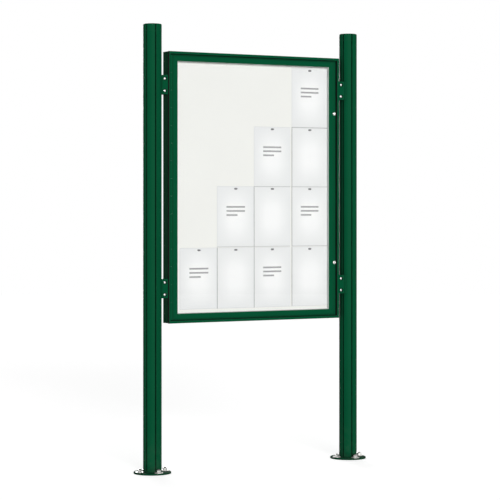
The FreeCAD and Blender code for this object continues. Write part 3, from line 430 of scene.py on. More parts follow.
@dataclass(frozen=True)
class Coating:
    """A painted, plated or moulded opaque surface."""

    name: str
    colour: Colour
    roughness: float
    metallic: float = 0.0
    specular: float = 0.5
    tone: float = 0.05
    roughness_spread: float = 0.05
    broad: float = 5.0
    fine: float = 900.0
    bump: float = 0.00002
    edge_radius: float = 0.0006
    # Painted highlight: how much paler the edges are made, and how strongly the edge mask applies
    # it.
    edge_highlight_lift: float = 0.1
    edge_highlight: float = 0.6
    dust: float = 0.0
    dust_colour: Colour = (0.42, 0.39, 0.33)
    # Painted shade: hollow_shade darkens the piece's hollows, shade darkens it where other pieces
    # stand close.
    hollow_shade: float = 0.5
    hollow_shade_reach: float = 0.006
    hollow_shade_share: float = 0.12
    shade: float = 0.0

    def make(self, effects: Effects) -> bpy.types.Material:
        """Build the material.

        Args:
            effects: The shared node groups.

        Returns:
            The finished material.
        """
        material, build, shader = new_material(self.name)
        mottle = build.group(effects.mottle, {"Broad": self.broad, "Fine": self.fine})
        edges = build.group(effects.edge_light, {
            "Radius": self.edge_radius, "Normal": build.bump(mottle["Height"], self.bump)})
        build.fill(shader, {
            "Base Color": self.base_colour(build, effects, mottle["Tone"], edges["Edge"]),
            "Roughness": build.ramp(mottle["Tone"], -1.0, 1.0,
                                    self.roughness - self.roughness_spread,
                                    self.roughness + self.roughness_spread),
            "Metallic": self.metallic, "Specular IOR Level": self.specular,
            "Normal": edges["Normal"]})
        return material

    def base_colour(self, build: Tree, effects: Effects, tone: Socket, edge: Socket) -> Socket:
        """Lay mottle, a painted highlight on the edges, painted shade in hollows and beside other
        pieces, and dust over each other.

        Args:
            build: The material's tree builder.
            effects: The shared node groups.
            tone: The slow change of tone, -1 to 1.
            edge: The mask of the edges.

        Returns:
            The colour.
        """
        # Painted highlight: the colour is made paler on the edges.
        highlighted = tuple(value + (1 - value) * self.edge_highlight_lift for value in self.colour)
        colour = build.mix(build.ramp(tone, -1.0, 1.0), scaled(self.colour, 1 - self.tone),
                           scaled(self.colour, 1 + self.tone))
        colour = build.mix(build.math("MULTIPLY", edge, self.edge_highlight), colour, highlighted)
        # Painted shade in hollows and where other pieces stand close.
        shaded_colour = build.group(effects.crevice, {
            "Colour": colour, "Shade colour": scaled(self.colour, self.hollow_shade_share),
            "Reach": self.hollow_shade_reach, "Amount": self.hollow_shade, "Shade": self.shade})
        dusty = build.group(effects.ground_dust, {
            "Colour": shaded_colour["Colour"], "Dust": self.dust_colour, "Amount": self.dust})
        return dusty["Colour"]


@dataclass(frozen=True)
class Glazing:
    """Clear sheet with polished faces, which lets the light on the panel through."""

    name: str = "clear_glazing"
    tint: Colour = (0.993, 0.996, 0.994)
    refraction: float = 1.45

    def make(self, effects: Effects) -> bpy.types.Material:
        """Build the material.

        Args:
            effects: The shared node groups, none of which it needs.

        Returns:
            The finished material.
        """
        material, build, shader = new_material(self.name)
        build.fill(shader, {"Base Color": self.tint, "Roughness": 0.0, "IOR": self.refraction,
                            "Transmission Weight": 1.0})
        clear = build.add("ShaderNodeBsdfTransparent", {"Color": self.tint})
        rays = build.add("ShaderNodeLightPath").outputs
        through = build.math("MAXIMUM", rays["Is Shadow Ray"], rays["Is Diffuse Ray"])
        mixed = build.add("ShaderNodeMixShader", {0: through, 1: shader.outputs[0],
                                                  2: clear.outputs[0]})
        build.fill(material.node_tree.nodes["Material Output"], {"Surface": mixed.outputs[0]})
        return material


@dataclass(frozen=True)
class PrintedPaper:
    """Office paper with a painted highlight that fades to painted shade at its rim, painted shade
    along its sides, strongest where sheets meet, and, on some sheets, plain bars.
    """

    name: str = "printed_paper"
    # middle and rim: a painted highlight in the middle of each sheet, fading to painted shade at
    # its rim.
    middle: Colour = from_screen(253, 253, 253)
    rim: Colour = from_screen(235, 236, 236)
    rim_share: float = 0.38
    ink: Colour = from_screen(158, 158, 158)
    # Painted shade along the gaps between sheets: its colour and width.
    key_line: Colour = from_screen(96, 97, 97)
    key_width: float = 2.5
    width: float = 210.0
    height: float = 297.0
    bars: tuple[tuple[float, float], ...] = ((196.0, 104.0), (176.0, 104.0), (156.0, 62.0))
    bar_left: float = 53.0
    bar_thickness: float = 8.0
    roughness: float = 0.62
    specular: float = 0.25
    grain_scale: float = 700.0
    grain_detail: float = 4.0
    grain_height: float = 0.00002

    def make(self, effects: Effects) -> bpy.types.Material:
        """Build the material on the sheets' own UV map, which runs 0 to 1 over a sheet.

        Args:
            effects: The shared node groups, none of which it needs.

        Returns:
            The finished material.
        """
        material, build, shader = new_material(self.name)
        place = build.add("ShaderNodeUVMap", uv_map="sheet").outputs[0]
        share = build.add("ShaderNodeSeparateXYZ", {0: place}).outputs
        across = build.math("MULTIPLY", share["X"], self.width)
        up = build.math("MULTIPLY", share["Y"], self.height)
        gaps = {"left": across, "right": build.math("SUBTRACT", self.width, across),
                "bottom": up, "top": build.math("SUBTRACT", self.height, up)}
        to_side = build.math("MINIMUM", gaps["left"], gaps["right"])
        to_end = build.math("MINIMUM", gaps["bottom"], gaps["top"])
        # Painted highlight in the middle of the sheet, fading to painted shade towards the rim.
        painted_light = build.math("MULTIPLY", build.ramp(to_side, 0.0, self.width * self.rim_share),
                          build.ramp(to_end, 0.0, self.height * self.rim_share))
        colour = build.mix(painted_light, self.rim, self.middle)
        colour = build.mix(self.ink_mask(build, across, up), colour, self.ink)
        # Painted shade along the gaps between sheets, fainter along open edges.
        colour = build.mix(self.key_mask(build, gaps), colour, self.key_line)
        grain = build.noise(build.place(), self.grain_scale, self.grain_detail)
        build.fill(shader, {"Base Color": colour, "Roughness": self.roughness,
                            "Specular IOR Level": self.specular,
                            "Normal": build.bump(grain, self.grain_height)})
        return material

    def key_mask(self, build: Tree, gaps: dict[str, Socket]) -> Socket:
        """Mask the painted shade along the gaps between sheets, as strong along each side as the
        sheet's attributes say.

        Args:
            build: The material's tree builder.
            gaps: Distance from each side of the sheet.

        Returns:
            The mask.
        """
        mask: object = 0.0
        for side, gap in gaps.items():
            weight = build.add("ShaderNodeAttribute", attribute_name="key_" + side)
            line = build.math("MULTIPLY", build.math("LESS_THAN", gap, self.key_width),
                              weight.outputs["Fac"])
            mask = build.math("MAXIMUM", mask, line)
        return mask

    def ink_mask(self, build: Tree, across: Socket, up: Socket) -> Socket:
        """Mask the plain bars, only on sheets whose attribute says that they are printed.

        Args:
            build: The material's tree builder.
            across: Distance from the left side of the sheet.
            up: Distance from its foot.

        Returns:
            The mask.
        """
        mask: object = 0.0
        for middle, length in self.bars:
            offset = build.math("ABSOLUTE", build.math("SUBTRACT", up, middle))
            bar = build.math("MULTIPLY",
                             build.math("LESS_THAN", offset, self.bar_thickness / 2),
                             build.math("GREATER_THAN", across, self.bar_left),
                             build.math("LESS_THAN", across, self.bar_left + length))
            mask = build.math("MAXIMUM", mask, bar)
        printed = build.add("ShaderNodeAttribute", attribute_name="printed")
        return build.math("MULTIPLY", mask, printed.outputs["Fac"])


class Finish(enum.Enum):
    """Every finish of the notice board."""

    # Its hollow_shade and shade paint its slots near black and darken it beside other pieces:
    # painted shade.
    POWDER_COAT = Coating(
        "green_powder_coat", from_screen(8, 81, 51), 0.44, specular=0.01, tone=0.05, fine=1100.0,
        bump=0.000018, edge_radius=0.0009, edge_highlight_lift=0.05, dust=0.03, hollow_shade=0.97,
        hollow_shade_reach=0.016, hollow_shade_share=0.03, shade=0.5)
    # Its green, darker than the powder coat's, is partly the steel's own coat and partly painted
    # shade for the hinge beside the lip.
    COATED_STEEL = Coating(
        "green_steel_coat_and_shade", from_screen(6, 66, 42), 0.62, specular=0.004, tone=0.08, fine=800.0,
        bump=0.00003, edge_radius=0.0012, edge_highlight_lift=0.04, dust=0.05, hollow_shade=0.8)
    MILL = Coating("mill_aluminium", (0.74, 0.75, 0.76), 0.38, 1.0, tone=0.04, fine=600.0)
    ZINC = Coating("zinc_plate", (0.52, 0.52, 0.505), 0.42, 0.75, tone=0.22, broad=160.0,
                   roughness_spread=0.1, fine=500.0, dust=0.12, hollow_shade=0.7, hollow_shade_share=0.2)
    STAINLESS = Coating("stainless_steel", (0.74, 0.74, 0.73), 0.3, 1.0, tone=0.05, broad=60.0,
                        hollow_shade=0.8, hollow_shade_reach=0.003)
    NICKEL = Coating("bright_nickel", (0.82, 0.81, 0.79), 0.16, 1.0, tone=0.03, broad=80.0,
                     roughness_spread=0.04, bump=0.000004, hollow_shade=0.8, hollow_shade_reach=0.003)
    BOARD = Coating("enamelled_board", from_screen(243, 243, 239), 0.4, specular=0.3, tone=0.012,
                    broad=2.2, fine=400.0, bump=0.000006, hollow_shade=0.1)
    MAGNET = Coating("magnet_skin", from_screen(92, 92, 94), 0.55, tone=0.08, broad=120.0,
                     edge_highlight_lift=0.2)
    SEAL = Coating("seal_rubber", from_screen(13, 15, 14), 0.8, specular=0.12, tone=0.1,
                   broad=40.0, fine=1500.0, bump=0.00003, edge_highlight_lift=0.03)
    # Grey rubber whose pale colour is partly a painted highlight, for the bright inner edge of
    # the glazing.
    GASKET = Coating("pale_gasket_and_highlight", from_screen(182, 189, 184), 0.7, specular=0.2, tone=0.05,
                     broad=40.0, fine=1500.0, bump=0.00003)
    BOLT = Coating("dark_steel", (0.16, 0.155, 0.15), 0.45, 0.9, tone=0.15, broad=200.0,
                   hollow_shade=0.7, hollow_shade_reach=0.002)
    GLASS = Glazing()
    PRINT = PrintedPaper()


SLOT_FINISH: dict[Slot, Finish] = {
    Slot.GREEN_ALUMINIUM: Finish.POWDER_COAT, Slot.GREEN_STEEL: Finish.COATED_STEEL,
    Slot.ALUMINIUM: Finish.MILL, Slot.ZINC: Finish.ZINC, Slot.STAINLESS: Finish.STAINLESS,
    Slot.CHROME: Finish.NICKEL, Slot.BOARD: Finish.BOARD, Slot.PAPER: Finish.PRINT,
    Slot.MAGNET: Finish.MAGNET, Slot.GLASS: Finish.GLASS, Slot.BLACK_RUBBER: Finish.SEAL,
    Slot.GREY_RUBBER: Finish.GASKET}


@dataclass
class Finishes:
    """The materials, each built once from its finish."""

    effects: Effects = field(default_factory=Effects)
    made: dict[Finish, bpy.types.Material] = field(default_factory=dict)

    def __post_init__(self) -> None:
        """Build the materials."""
        self.made = {finish: finish.value.make(self.effects) for finish in Finish}

    def __getitem__(self, wanted: Finish | Slot) -> bpy.types.Material:
        """Give the material of a finish or of a slot of the record."""
        return self.made[SLOT_FINISH.get(wanted, wanted)]


@dataclass(frozen=True)
class Extent:
    """Lowest and highest corner of one solid of a node."""

    low: Vector
    high: Vector

    @property
    def centre(self) -> Vector:
        """Middle of the box."""
        return (self.low + self.high) / 2

    @property
    def size(self) -> Vector:
        """Lengths of the box's sides."""
        return self.high - self.low

    def middle_of_face(self, facing: Facing) -> Vector:
        """Middle of the box's side that looks one way."""
        return self.centre + Vector([way * length / 2
                                     for way, length in zip(facing.value, self.size)])


def solids_of(*nodes: str) -> list[Extent]:
    """Find the separate solids of one or more nodes.

    Args:
        nodes: The nodes' names.

    Returns:
        One box for each solid, node by node, sorted from the top down and then from the left.
    """
    found = []
    for node in nodes:
        copy = bmesh.new()
        copy.from_mesh(frame["nodes"][node].data)
        bmesh.ops.remove_doubles(copy, verts=copy.verts, dist=MERGE_DISTANCE)
        boxes, seen = [], set()
        for start in copy.verts:
            if start in seen:
                continue
            seen.add(start)
            waiting, places = [start], []
            while waiting:
                vertex = waiting.pop()
                places.append(vertex.co.copy())
                joined = {edge.other_vert(vertex) for edge in vertex.link_edges} - seen
                seen |= joined
                waiting += joined
            low, high = (Vector([pick(axis) for axis in zip(*places)]) for pick in (min, max))
            boxes.append(Extent(low, high))
        copy.free()
        found += sorted(boxes, key=lambda box: (
            -round(box.centre.z, SORT_DECIMALS), round(box.centre.x, SORT_DECIMALS)))
    return found


def new_object(name: str, data: bpy.types.ID) -> bpy.types.Object:
    """Put a mesh, lamp or camera in the scene as an object at the origin.

    Args:
        name: The object's name.
        data: What it shows.

    Returns:
        The object.
    """
    made = bpy.data.objects.new(name, data)
    bpy.context.scene.collection.objects.link(made)
    return made


def smooth(mesh: bpy.types.Mesh, degrees: float) -> None:
    """Shade a mesh smooth across edges that turn less than an angle."""
    mesh.polygons.foreach_set("use_smooth", [True] * len(mesh.polygons))
    mesh.set_sharp_from_angle(angle=math.radians(degrees))


def mesh_from(name: str, shape: Shape, degrees: float = SMOOTH_DEGREES) -> bpy.types.Mesh:
    """Turn a built shape into a mesh, and free the shape.

    Args:
        name: The mesh's name.
        shape: The shape.
        degrees: Edges that turn less than this are smooth.

    Returns:
        The mesh.
    """
    bmesh.ops.recalc_face_normals(shape, faces=shape.faces)
    mesh = bpy.data.meshes.new(name)
    shape.to_mesh(mesh)
    shape.free()
    smooth(mesh, degrees)
    return mesh


def join_rings(shape: Shape, first: list, second: list) -> None:
    """Fill the strip between two rings of the same length.

    Args:
        shape: The shape that the rings are in.
        first: Points of one ring.
        second: Points of the other.
    """
    for index, vertex in enumerate(first):
        after = (index + 1) % len(first)
        shape.faces.new((vertex, first[after], second[after], second[index]))


def quarter(start: float, end: float, depth: float, steps: int = 5) -> list[tuple[float, float]]:
    """Lay points of (radius, along) on a quarter round that starts flat and ends steep.

    Args:
        start: Radius at its start, on the face.
        end: Radius at its end.
        depth: Distance along the axis from its start to its end.
        steps: Number of faces.

    Returns:
        The points.
    """
    turns = [math.pi / 2 * index / steps for index in range(steps + 1)]
    return [(start + (end - start) * math.sin(turn), depth * (1 - math.cos(turn)))
            for turn in turns]


@dataclass(frozen=True)
class Outline:
    """Distance from the axis to the side of a recess or a nut in every direction."""

    drive: Drive
    across: float
    width: float = 0.0

    @property
    def corners(self) -> list[float]:
        """Find the corners, which a ring has to pass through.

        Returns:
            Their directions, in radians from the X axis.
        """
        if self.drive is Drive.HEXAGON:
            return [math.pi / 3 * index for index in range(6)]
        if self.drive is Drive.CROSS:
            arm = math.atan2(self.width, self.across)
            return [math.pi / 2 * index + turn for index in range(4)
                    for turn in (arm, math.pi / 4, math.pi / 2 - arm)]
        arm = math.atan2(self.across, self.width)
        return [arm, math.pi - arm, math.pi + arm, 2 * math.pi - arm]

    def reach(self, turn: float) -> float:
        """Give the distance in one direction.

        Args:
            turn: The direction, in radians from the X axis.

        Returns:
            The distance.
        """
        sideways = max(abs(math.cos(turn)), NEARLY_ZERO)
        upright = max(abs(math.sin(turn)), NEARLY_ZERO)
        if self.drive is Drive.HEXAGON:
            return self.across / math.cos(turn % (math.pi / 3) - math.pi / 6)
        if self.drive is Drive.CROSS:
            return min(self.across / max(sideways, upright), self.width / min(sideways, upright))
        return min(self.width / sideways, self.across / upright)


@dataclass
class Turning:
    """Stack of rings round the Y axis that becomes one closed shape."""

    segments: int = 32
    corners: Sequence[float] = ()
    corner_gap: float = 0.03
    shape: Shape = field(default_factory=bmesh.new)
    rings: list[list] = field(default_factory=list)
    turns: list[float] = field(default_factory=list)

    def __post_init__(self) -> None:
        """Work out the directions of a ring's points, even but for room at the corners."""
        even = {round(2 * math.pi * index / self.segments, TURN_DECIMALS)
                for index in range(self.segments)}
        kept = [turn for turn in even
                if all(abs(turn - corner) > self.corner_gap for corner in self.corners)]
        self.turns = sorted(kept + list(self.corners))

    def ring(self, radius: float | Around, along: float | Around) -> None:
        """Add a ring.

        Args:
            radius: Its radius, the same all round or by direction.
            along: Its distance along the axis, the same all round or by direction.
        """
        reach = radius if callable(radius) else lambda turn: radius
        depth = along if callable(along) else lambda turn: along
        self.rings.append([
            self.shape.verts.new((reach(turn) * math.cos(turn), depth(turn),
                                  reach(turn) * math.sin(turn))) for turn in self.turns])

    def profile(self, *points: tuple[float, float]) -> None:
        """Add a round ring for every point of (radius, along)."""
        for radius, along in points:
            self.ring(radius, along)

    def closed(self, hollow: bool = False) -> Shape:
        """Fill between the rings.

        Args:
            hollow: Whether a bore joins the ends, which are closed otherwise.

        Returns:
            The shape.
        """
        for first, second in zip(self.rings, self.rings[1:]):
            join_rings(self.shape, first, second)
        if hollow:
            join_rings(self.shape, self.rings[-1], self.rings[0])
        else:
            self.shape.faces.new(self.rings[0])
            self.shape.faces.new(self.rings[-1])
        return self.shape


@dataclass(frozen=True)
class Nut:
    """Hexagon nut chamfered at both ends, its face at Y 0 and its body along +Y."""

    flats: float
    bore: float
    height: float
    segments: int = 36
    chamfer_degrees: float = 28.0
    face_share: float = 0.97
    lead: float = 0.0008
    lead_share: float = 0.2

    def make(self) -> Shape:
        """Build the shape.

        Returns:
            The shape.
        """
        side = Outline(Drive.HEXAGON, self.flats / 2)
        turning = Turning(self.segments, side.corners)
        face = self.flats / 2 * self.face_share
        slope = math.tan(math.radians(self.chamfer_degrees))
        lead = min(self.lead, self.height * self.lead_share)
        turning.profile((self.bore, lead), (self.bore + lead, 0.0), (face, 0.0))
        turning.ring(side.reach, lambda turn: (side.reach(turn) - face) * slope)
        turning.ring(side.reach, lambda turn: self.height - (side.reach(turn) - face) * slope)
        turning.profile((face, self.height), (self.bore + lead, self.height),
                        (self.bore, self.height - lead))
        return turning.closed(hollow=True)


@dataclass(frozen=True)
class Washer:
    """Flat ring with softened rims, its face at Y 0."""

    radius: float
    bore: float
    thickness: float
    segments: int = 56
    softening: float = 0.0007
    shoulder: float = 0.00112

    def make(self) -> Shape:
        """Build the shape.

        Returns:
            The shape.
        """
        soft, back = self.softening, self.thickness
        turning = Turning(self.segments)
        turning.profile((self.bore, back - soft), (self.bore, soft), (self.bore + soft, 0.0))
        turning.profile(*quarter(self.radius - self.shoulder, self.radius, self.shoulder))
        turning.profile((self.radius, back - soft), (self.radius - soft, back),
                        (self.bore + soft, back))
        return turning.closed(hollow=True)


@dataclass(frozen=True)
class Screw:
    """Screw whose face is at Y 0 and whose shank runs along +Y."""

    drive: Outline
    recess: float
    head_radius: float
    head_height: float
    shank: float
    length: float
    domed: float = 0.0
    lip: float = 0.00012
    rim: float = 0.0002
    recess_taper: float = 0.86
    point_share: float = 0.2

    def make(self) -> Shape:
        """Build a screw with a domed head or, with no dome, a countersunk one.

        Returns:
            The shape.
        """
        turning = Turning(corners=self.drive.corners)
        turning.ring(lambda turn: self.drive.reach(turn) * self.recess_taper, self.recess)
        turning.ring(self.drive.reach, self.lip * 2)
        turning.ring(lambda turn: self.drive.reach(turn) + self.lip, 0.0)
        widest = max(self.drive.reach(turn) for turn in turning.turns) + 2 * self.lip
        if self.domed:
            turning.profile(*quarter(widest, self.head_radius, self.domed))
            turning.profile((self.head_radius, self.head_height), (self.shank, self.head_height))
        else:
            turning.profile((widest, 0.0), (self.head_radius - self.rim, 0.0),
                            (self.head_radius, self.rim), (self.shank, self.head_height))
        point = self.shank * self.point_share
        turning.profile((self.shank, self.length - point), (self.shank - point, self.length))
        return turning.closed()


@dataclass(frozen=True)
class PatternTree:
    """Geometry nodes that set one pattern at every point of a mesh."""

    name: ClassVar[str]
    inputs: ClassVar[dict[str, Kind]]

    def make(self) -> bpy.types.NodeTree:
        """Build the tree, with the points and the finish as inputs besides its own.

        Returns:
            The tree.
        """
        build, given, made = new_group(
            self.name, "GeometryNodeTree",
            {"Points": Kind.GEOMETRY, **self.inputs, "Finish": Kind.MATERIAL},
            {"Geometry": Kind.GEOMETRY})
        copies = build.add("GeometryNodeInstanceOnPoints", {
            "Points": given["Points"], **self.pattern(build, given)})
        real = build.add("GeometryNodeRealizeInstances", {0: copies.outputs[0]})
        finish = build.add("GeometryNodeSetMaterial", {"Geometry": real.outputs[0],
                                                       "Material": given["Finish"]})
        build.fill(made, {"Geometry": finish.outputs[0]})
        return build.tree

    def pattern(self, build: Tree, given: Sockets) -> dict[str, Socket]:
        """Make the pattern and how it is turned, by the names that the copies take them."""
        raise NotImplementedError


@dataclass(frozen=True)
class CopyTree(PatternTree):
    """Copies of an object, each turned a little about one axis by a seeded random angle."""

    name: ClassVar[str] = "copies_at_points"
    inputs: ClassVar[dict[str, Kind]] = {"Shape": Kind.OBJECT, "Axis": Kind.VECTOR,
                                         "Turn spread": Kind.NUMBER, "Seed": Kind.WHOLE}

    def pattern(self, build: Tree, given: Sockets) -> dict[str, Socket]:
        """Take the object's mesh and a random turn.

        Args:
            build: The tree builder.
            given: The tree's inputs.

        Returns:
            The pattern and its rotation.
        """
        shape = build.add("GeometryNodeObjectInfo", {"Object": given["Shape"]})
        turn = build.add("FunctionNodeRandomValue", {
            2: build.math("MULTIPLY", given["Turn spread"], -1.0), 3: given["Turn spread"],
            "Seed": given["Seed"]}, data_type="FLOAT")
        about = build.add("FunctionNodeAxisAngleToRotation", {"Axis": given["Axis"],
                                                              "Angle": turn.outputs[1]})
        return {"Instance": shape.outputs["Geometry"], "Rotation": about.outputs[0]}


@dataclass(frozen=True)
class ThreadTree(PatternTree):
    """Upright rods with a screw thread cut into them."""

    name: ClassVar[str] = "threaded_tips"
    inputs: ClassVar[dict[str, Kind]] = dict.fromkeys(
        ("Radius", "Height", "Pitch", "Depth", "Chamfer"), Kind.NUMBER)
    columns: int = 36
    rows: int = 44
    end_rings: int = 3

    def pattern(self, build: Tree, given: Sockets) -> dict[str, Socket]:
        """Draw each point of a rod in by the depth of the groove or chamfer at its height.

        Args:
            build: The tree builder.
            given: The tree's inputs.

        Returns:
            The pattern.
        """
        rod = build.add("GeometryNodeMeshCylinder", {
            "Vertices": self.columns, "Side Segments": self.rows,
            "Fill Segments": self.end_rings, "Radius": given["Radius"],
            "Depth": given["Height"]})
        position = build.add("GeometryNodeInputPosition").outputs[0]
        place = build.add("ShaderNodeSeparateXYZ", {0: position}).outputs
        turn = build.math("DIVIDE", build.math("ARCTAN2", place["Y"], place["X"]), 2 * math.pi)
        climb = build.math("DIVIDE", place["Z"], given["Pitch"])
        wave = build.math("PINGPONG", build.math("SUBTRACT", climb, turn), 0.5)
        groove = build.math("MULTIPLY", wave, 2.0, given["Depth"])
        top = build.math("MULTIPLY", given["Height"], 0.5)
        over = build.math("SUBTRACT", build.math("ADD", place["Z"], given["Chamfer"]), top)
        inward = build.math("MAXIMUM", groove, over, 0.0)
        scale = build.math("SUBTRACT", 1.0, build.math("DIVIDE", inward, given["Radius"]))
        moved = build.add("ShaderNodeCombineXYZ", {
            "X": build.math("MULTIPLY", place["X"], scale),
            "Y": build.math("MULTIPLY", place["Y"], scale), "Z": place["Z"]})
        cut = build.add("GeometryNodeSetPosition", {"Geometry": rod.outputs["Mesh"],
                                                    "Position": moved.outputs[0]})
        return {"Instance": cut.outputs[0]}


@dataclass
class Trees:
    """The geometry node trees, each built once."""

    copies: bpy.types.NodeTree = field(default_factory=CopyTree().make)
    threads: bpy.types.NodeTree = field(default_factory=ThreadTree().make)


def grow(name: str, points: Iterable[Vector], tree: bpy.types.NodeTree,
         inputs: dict[str, object]) -> bpy.types.Object:
    """Run a geometry tree over a set of points and keep the result as a plain mesh.

    Args:
        name: The new piece's name.
        points: The places to build at.
        tree: The geometry node tree.
        inputs: Values for the tree's named inputs.

    Returns:
        The finished object, with no modifier left on it.
    """
    seeds = bpy.data.meshes.new(name + "_places")
    seeds.from_pydata([tuple(point) for point in points], [], [])
    holder = new_object(name, seeds)
    modifier = holder.modifiers.new("grow", "NODES")
    modifier.node_group = tree
    for item in tree.interface.items_tree:
        if item.in_out == "INPUT" and item.name in inputs:
            modifier[item.identifier] = inputs[item.name]
    evaluated = holder.evaluated_get(bpy.context.evaluated_depsgraph_get())
    result = bpy.data.meshes.new_from_object(evaluated)
    holder.modifiers.clear()
    holder.data = result
    result.name = name
    smooth(result, SMOOTH_DEGREES)
    return holder


def settle(piece: bpy.types.Object, body: Body, slot: Slot, *nodes: str) -> None:
    """Make a piece ride on a body and let it stand for nodes of the frame.

    Args:
        piece: The piece.
        body: The body that it rides on.
        slot: The record's slot of its finish; not used.
        nodes: The nodes that it stands for, if any.
    """
    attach(piece, body.value)
    if nodes:
        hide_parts(*nodes)
    LOG.info("%s: %d faces on %s", piece.name, len(piece.data.polygons), body.value)


@dataclass(frozen=True)
class Repeat:
    """Piece made of one pattern, repeated at the solids of the nodes that it stands for.

    The spread is the largest random turn about the pattern's axis, either way, in radians,
    and the seed is that of the random turns.
    """

    name: str
    nodes: tuple[str, ...]
    slot: Slot
    facing: Facing
    spread: float = math.pi
    seed: int = 1
    body: Body = Body.STAND


@dataclass
class SubAssembly:
    """Nodes that are dressed together, and the pieces that are made in place of some."""

    finishes: Finishes
    trees: Trees
    nodes: ClassVar[tuple[str, ...]] = ()

    def build(self) -> list[str]:
        """Dress the nodes and make the pieces.

        Returns:
            The names of the nodes that it has dressed.
        """
        slots = {part["node"]: part["material_slot"] for part in frame["record"]["subparts"]}
        for name in self.nodes:
            material = self.finishes[Slot(slots[name])]
            frame["nodes"][name].data.materials.clear()
            frame["nodes"][name].data.materials.append(material)
            LOG.info("%s: %s", name, material.name)
        self.make_pieces()
        return list(self.nodes)

    def make_pieces(self) -> None:
        """Make nothing, unless the sub-assembly has pieces of its own."""

    def repeat(self, piece: Repeat, pattern: Callable[[Vector], Shape]) -> None:
        """Make a piece with its pattern on the face of every solid of its nodes.

        Args:
            piece: The piece.
            pattern: Builds the pattern from the size of a solid.
        """
        boxes = solids_of(*piece.nodes)
        self.copy_pattern(piece, pattern(boxes[0].size),
                          [box.middle_of_face(piece.facing) for box in boxes])

    def copy_pattern(self, piece: Repeat, shape: Shape, places: Iterable[Vector]) -> None:
        """Turn a pattern to face its way, copy it to its places and settle the piece.

        Args:
            piece: The piece.
            shape: The pattern, its face at Y 0 and its body along +Y.
            places: The places of the middle of the pattern's face.
        """
        shape.transform(self.turned_to(Vector(piece.facing.value)))
        pattern = new_object(piece.name + "_pattern", mesh_from(piece.name + "_pattern", shape))
        made = grow(piece.name, places, self.trees.copies, {
            "Shape": pattern, "Axis": piece.facing.value, "Turn spread": piece.spread,
            "Seed": piece.seed, "Finish": self.finishes[piece.slot]})
        bpy.data.objects.remove(pattern)
        settle(made, piece.body, piece.slot, *piece.nodes)

    def turned_to(self, axis: Vector) -> Matrix:
        """Turn a pattern's +Y away from an axis, keeping its X level.

        Args:
            axis: Where the pattern's face is to look.

        Returns:
            The turn.
        """
        side = Vector((0, 1, 0)) if axis.x else Vector((1, 0, 0))
        return Matrix((side, -axis, side.cross(-axis))).transposed().to_4x4()


@dataclass
class Posts(SubAssembly):
    """Fluted posts with their caps, spigots and grub screws."""

    nodes: ClassVar[tuple[str, ...]] = tuple(
        side + name for name in ("_post", "_post_cap", "_foot_spigot")
        for side in SIDES) + ("post_grub_screws",)


@dataclass
class FootPlates(SubAssembly):
    """Round plates with their washers, nuts and the threaded ends of the anchors."""

    nodes: ClassVar[tuple[str, ...]] = (
        "left_foot_plate", "right_foot_plate", "anchor_washers", "anchor_nuts")
    washer_bore: float = 0.0065
    nut_bore: float = 0.006
    thread_radius: float = 0.0059
    thread_proud: float = 0.0042
    thread_hidden: float = 0.006
    thread_pitch: float = 0.00175
    thread_depth: float = 0.0008
    thread_chamfer: float = 0.0012

    def make_pieces(self) -> None:
        """Make the washers, the nuts and the threaded ends."""
        self.repeat(Repeat("broad_washers", ("anchor_washers",), Slot.ZINC, Facing.UP, 0.0),
                    lambda size: Washer(size.y / 2, self.washer_bore, size.z).make())
        self.repeat(Repeat("hexagon_nuts", ("anchor_nuts",), Slot.ZINC, Facing.UP, 0.5, 11),
                    lambda size: Nut(size.y, self.nut_bore, size.z).make())
        height = self.thread_proud + self.thread_hidden
        places = [box.middle_of_face(Facing.UP) + Vector((0, 0, self.thread_proud - height / 2))
                  for box in solids_of("anchor_nuts")]
        tips = grow("anchor_tips", places, self.trees.threads, {
            "Radius": self.thread_radius, "Height": height, "Pitch": self.thread_pitch,
            "Depth": self.thread_depth, "Chamfer": self.thread_chamfer,
            "Finish": self.finishes[Finish.BOLT]})
        settle(tips, Body.STAND, Slot.ZINC)


@dataclass
class Clamps(SubAssembly):
    """Jaws that hold the case between the posts, with their screws and nuts."""

    nodes: ClassVar[tuple[str, ...]] = tuple(
        f"{level}_{side}_{end}_jaw" for level in LEVELS for side in SIDES
        for end in ("front", "rear")) + ("clamp_screws", "clamp_nuts")
    socket: Outline = Outline(Drive.HEXAGON, 0.0025)
    socket_depth: float = 0.0019
    head_height: float = 0.0034
    head_dome: float = 0.0028
    shank: float = 0.004

    def make_pieces(self) -> None:
        """Make the button-headed screws and their nuts."""
        self.repeat(
            Repeat("button_screws", ("clamp_screws",), Slot.STAINLESS, Facing.FRONT, seed=7),
            lambda size: Screw(self.socket, self.socket_depth, size.x / 2, self.head_height,
                               self.shank, size.y, self.head_dome).make())
        self.repeat(
            Repeat("clamp_hexagon_nuts", ("clamp_nuts",), Slot.STAINLESS, Facing.REAR, 0.15, 5),
            lambda size: Nut(size.z, self.shank, size.y).make())


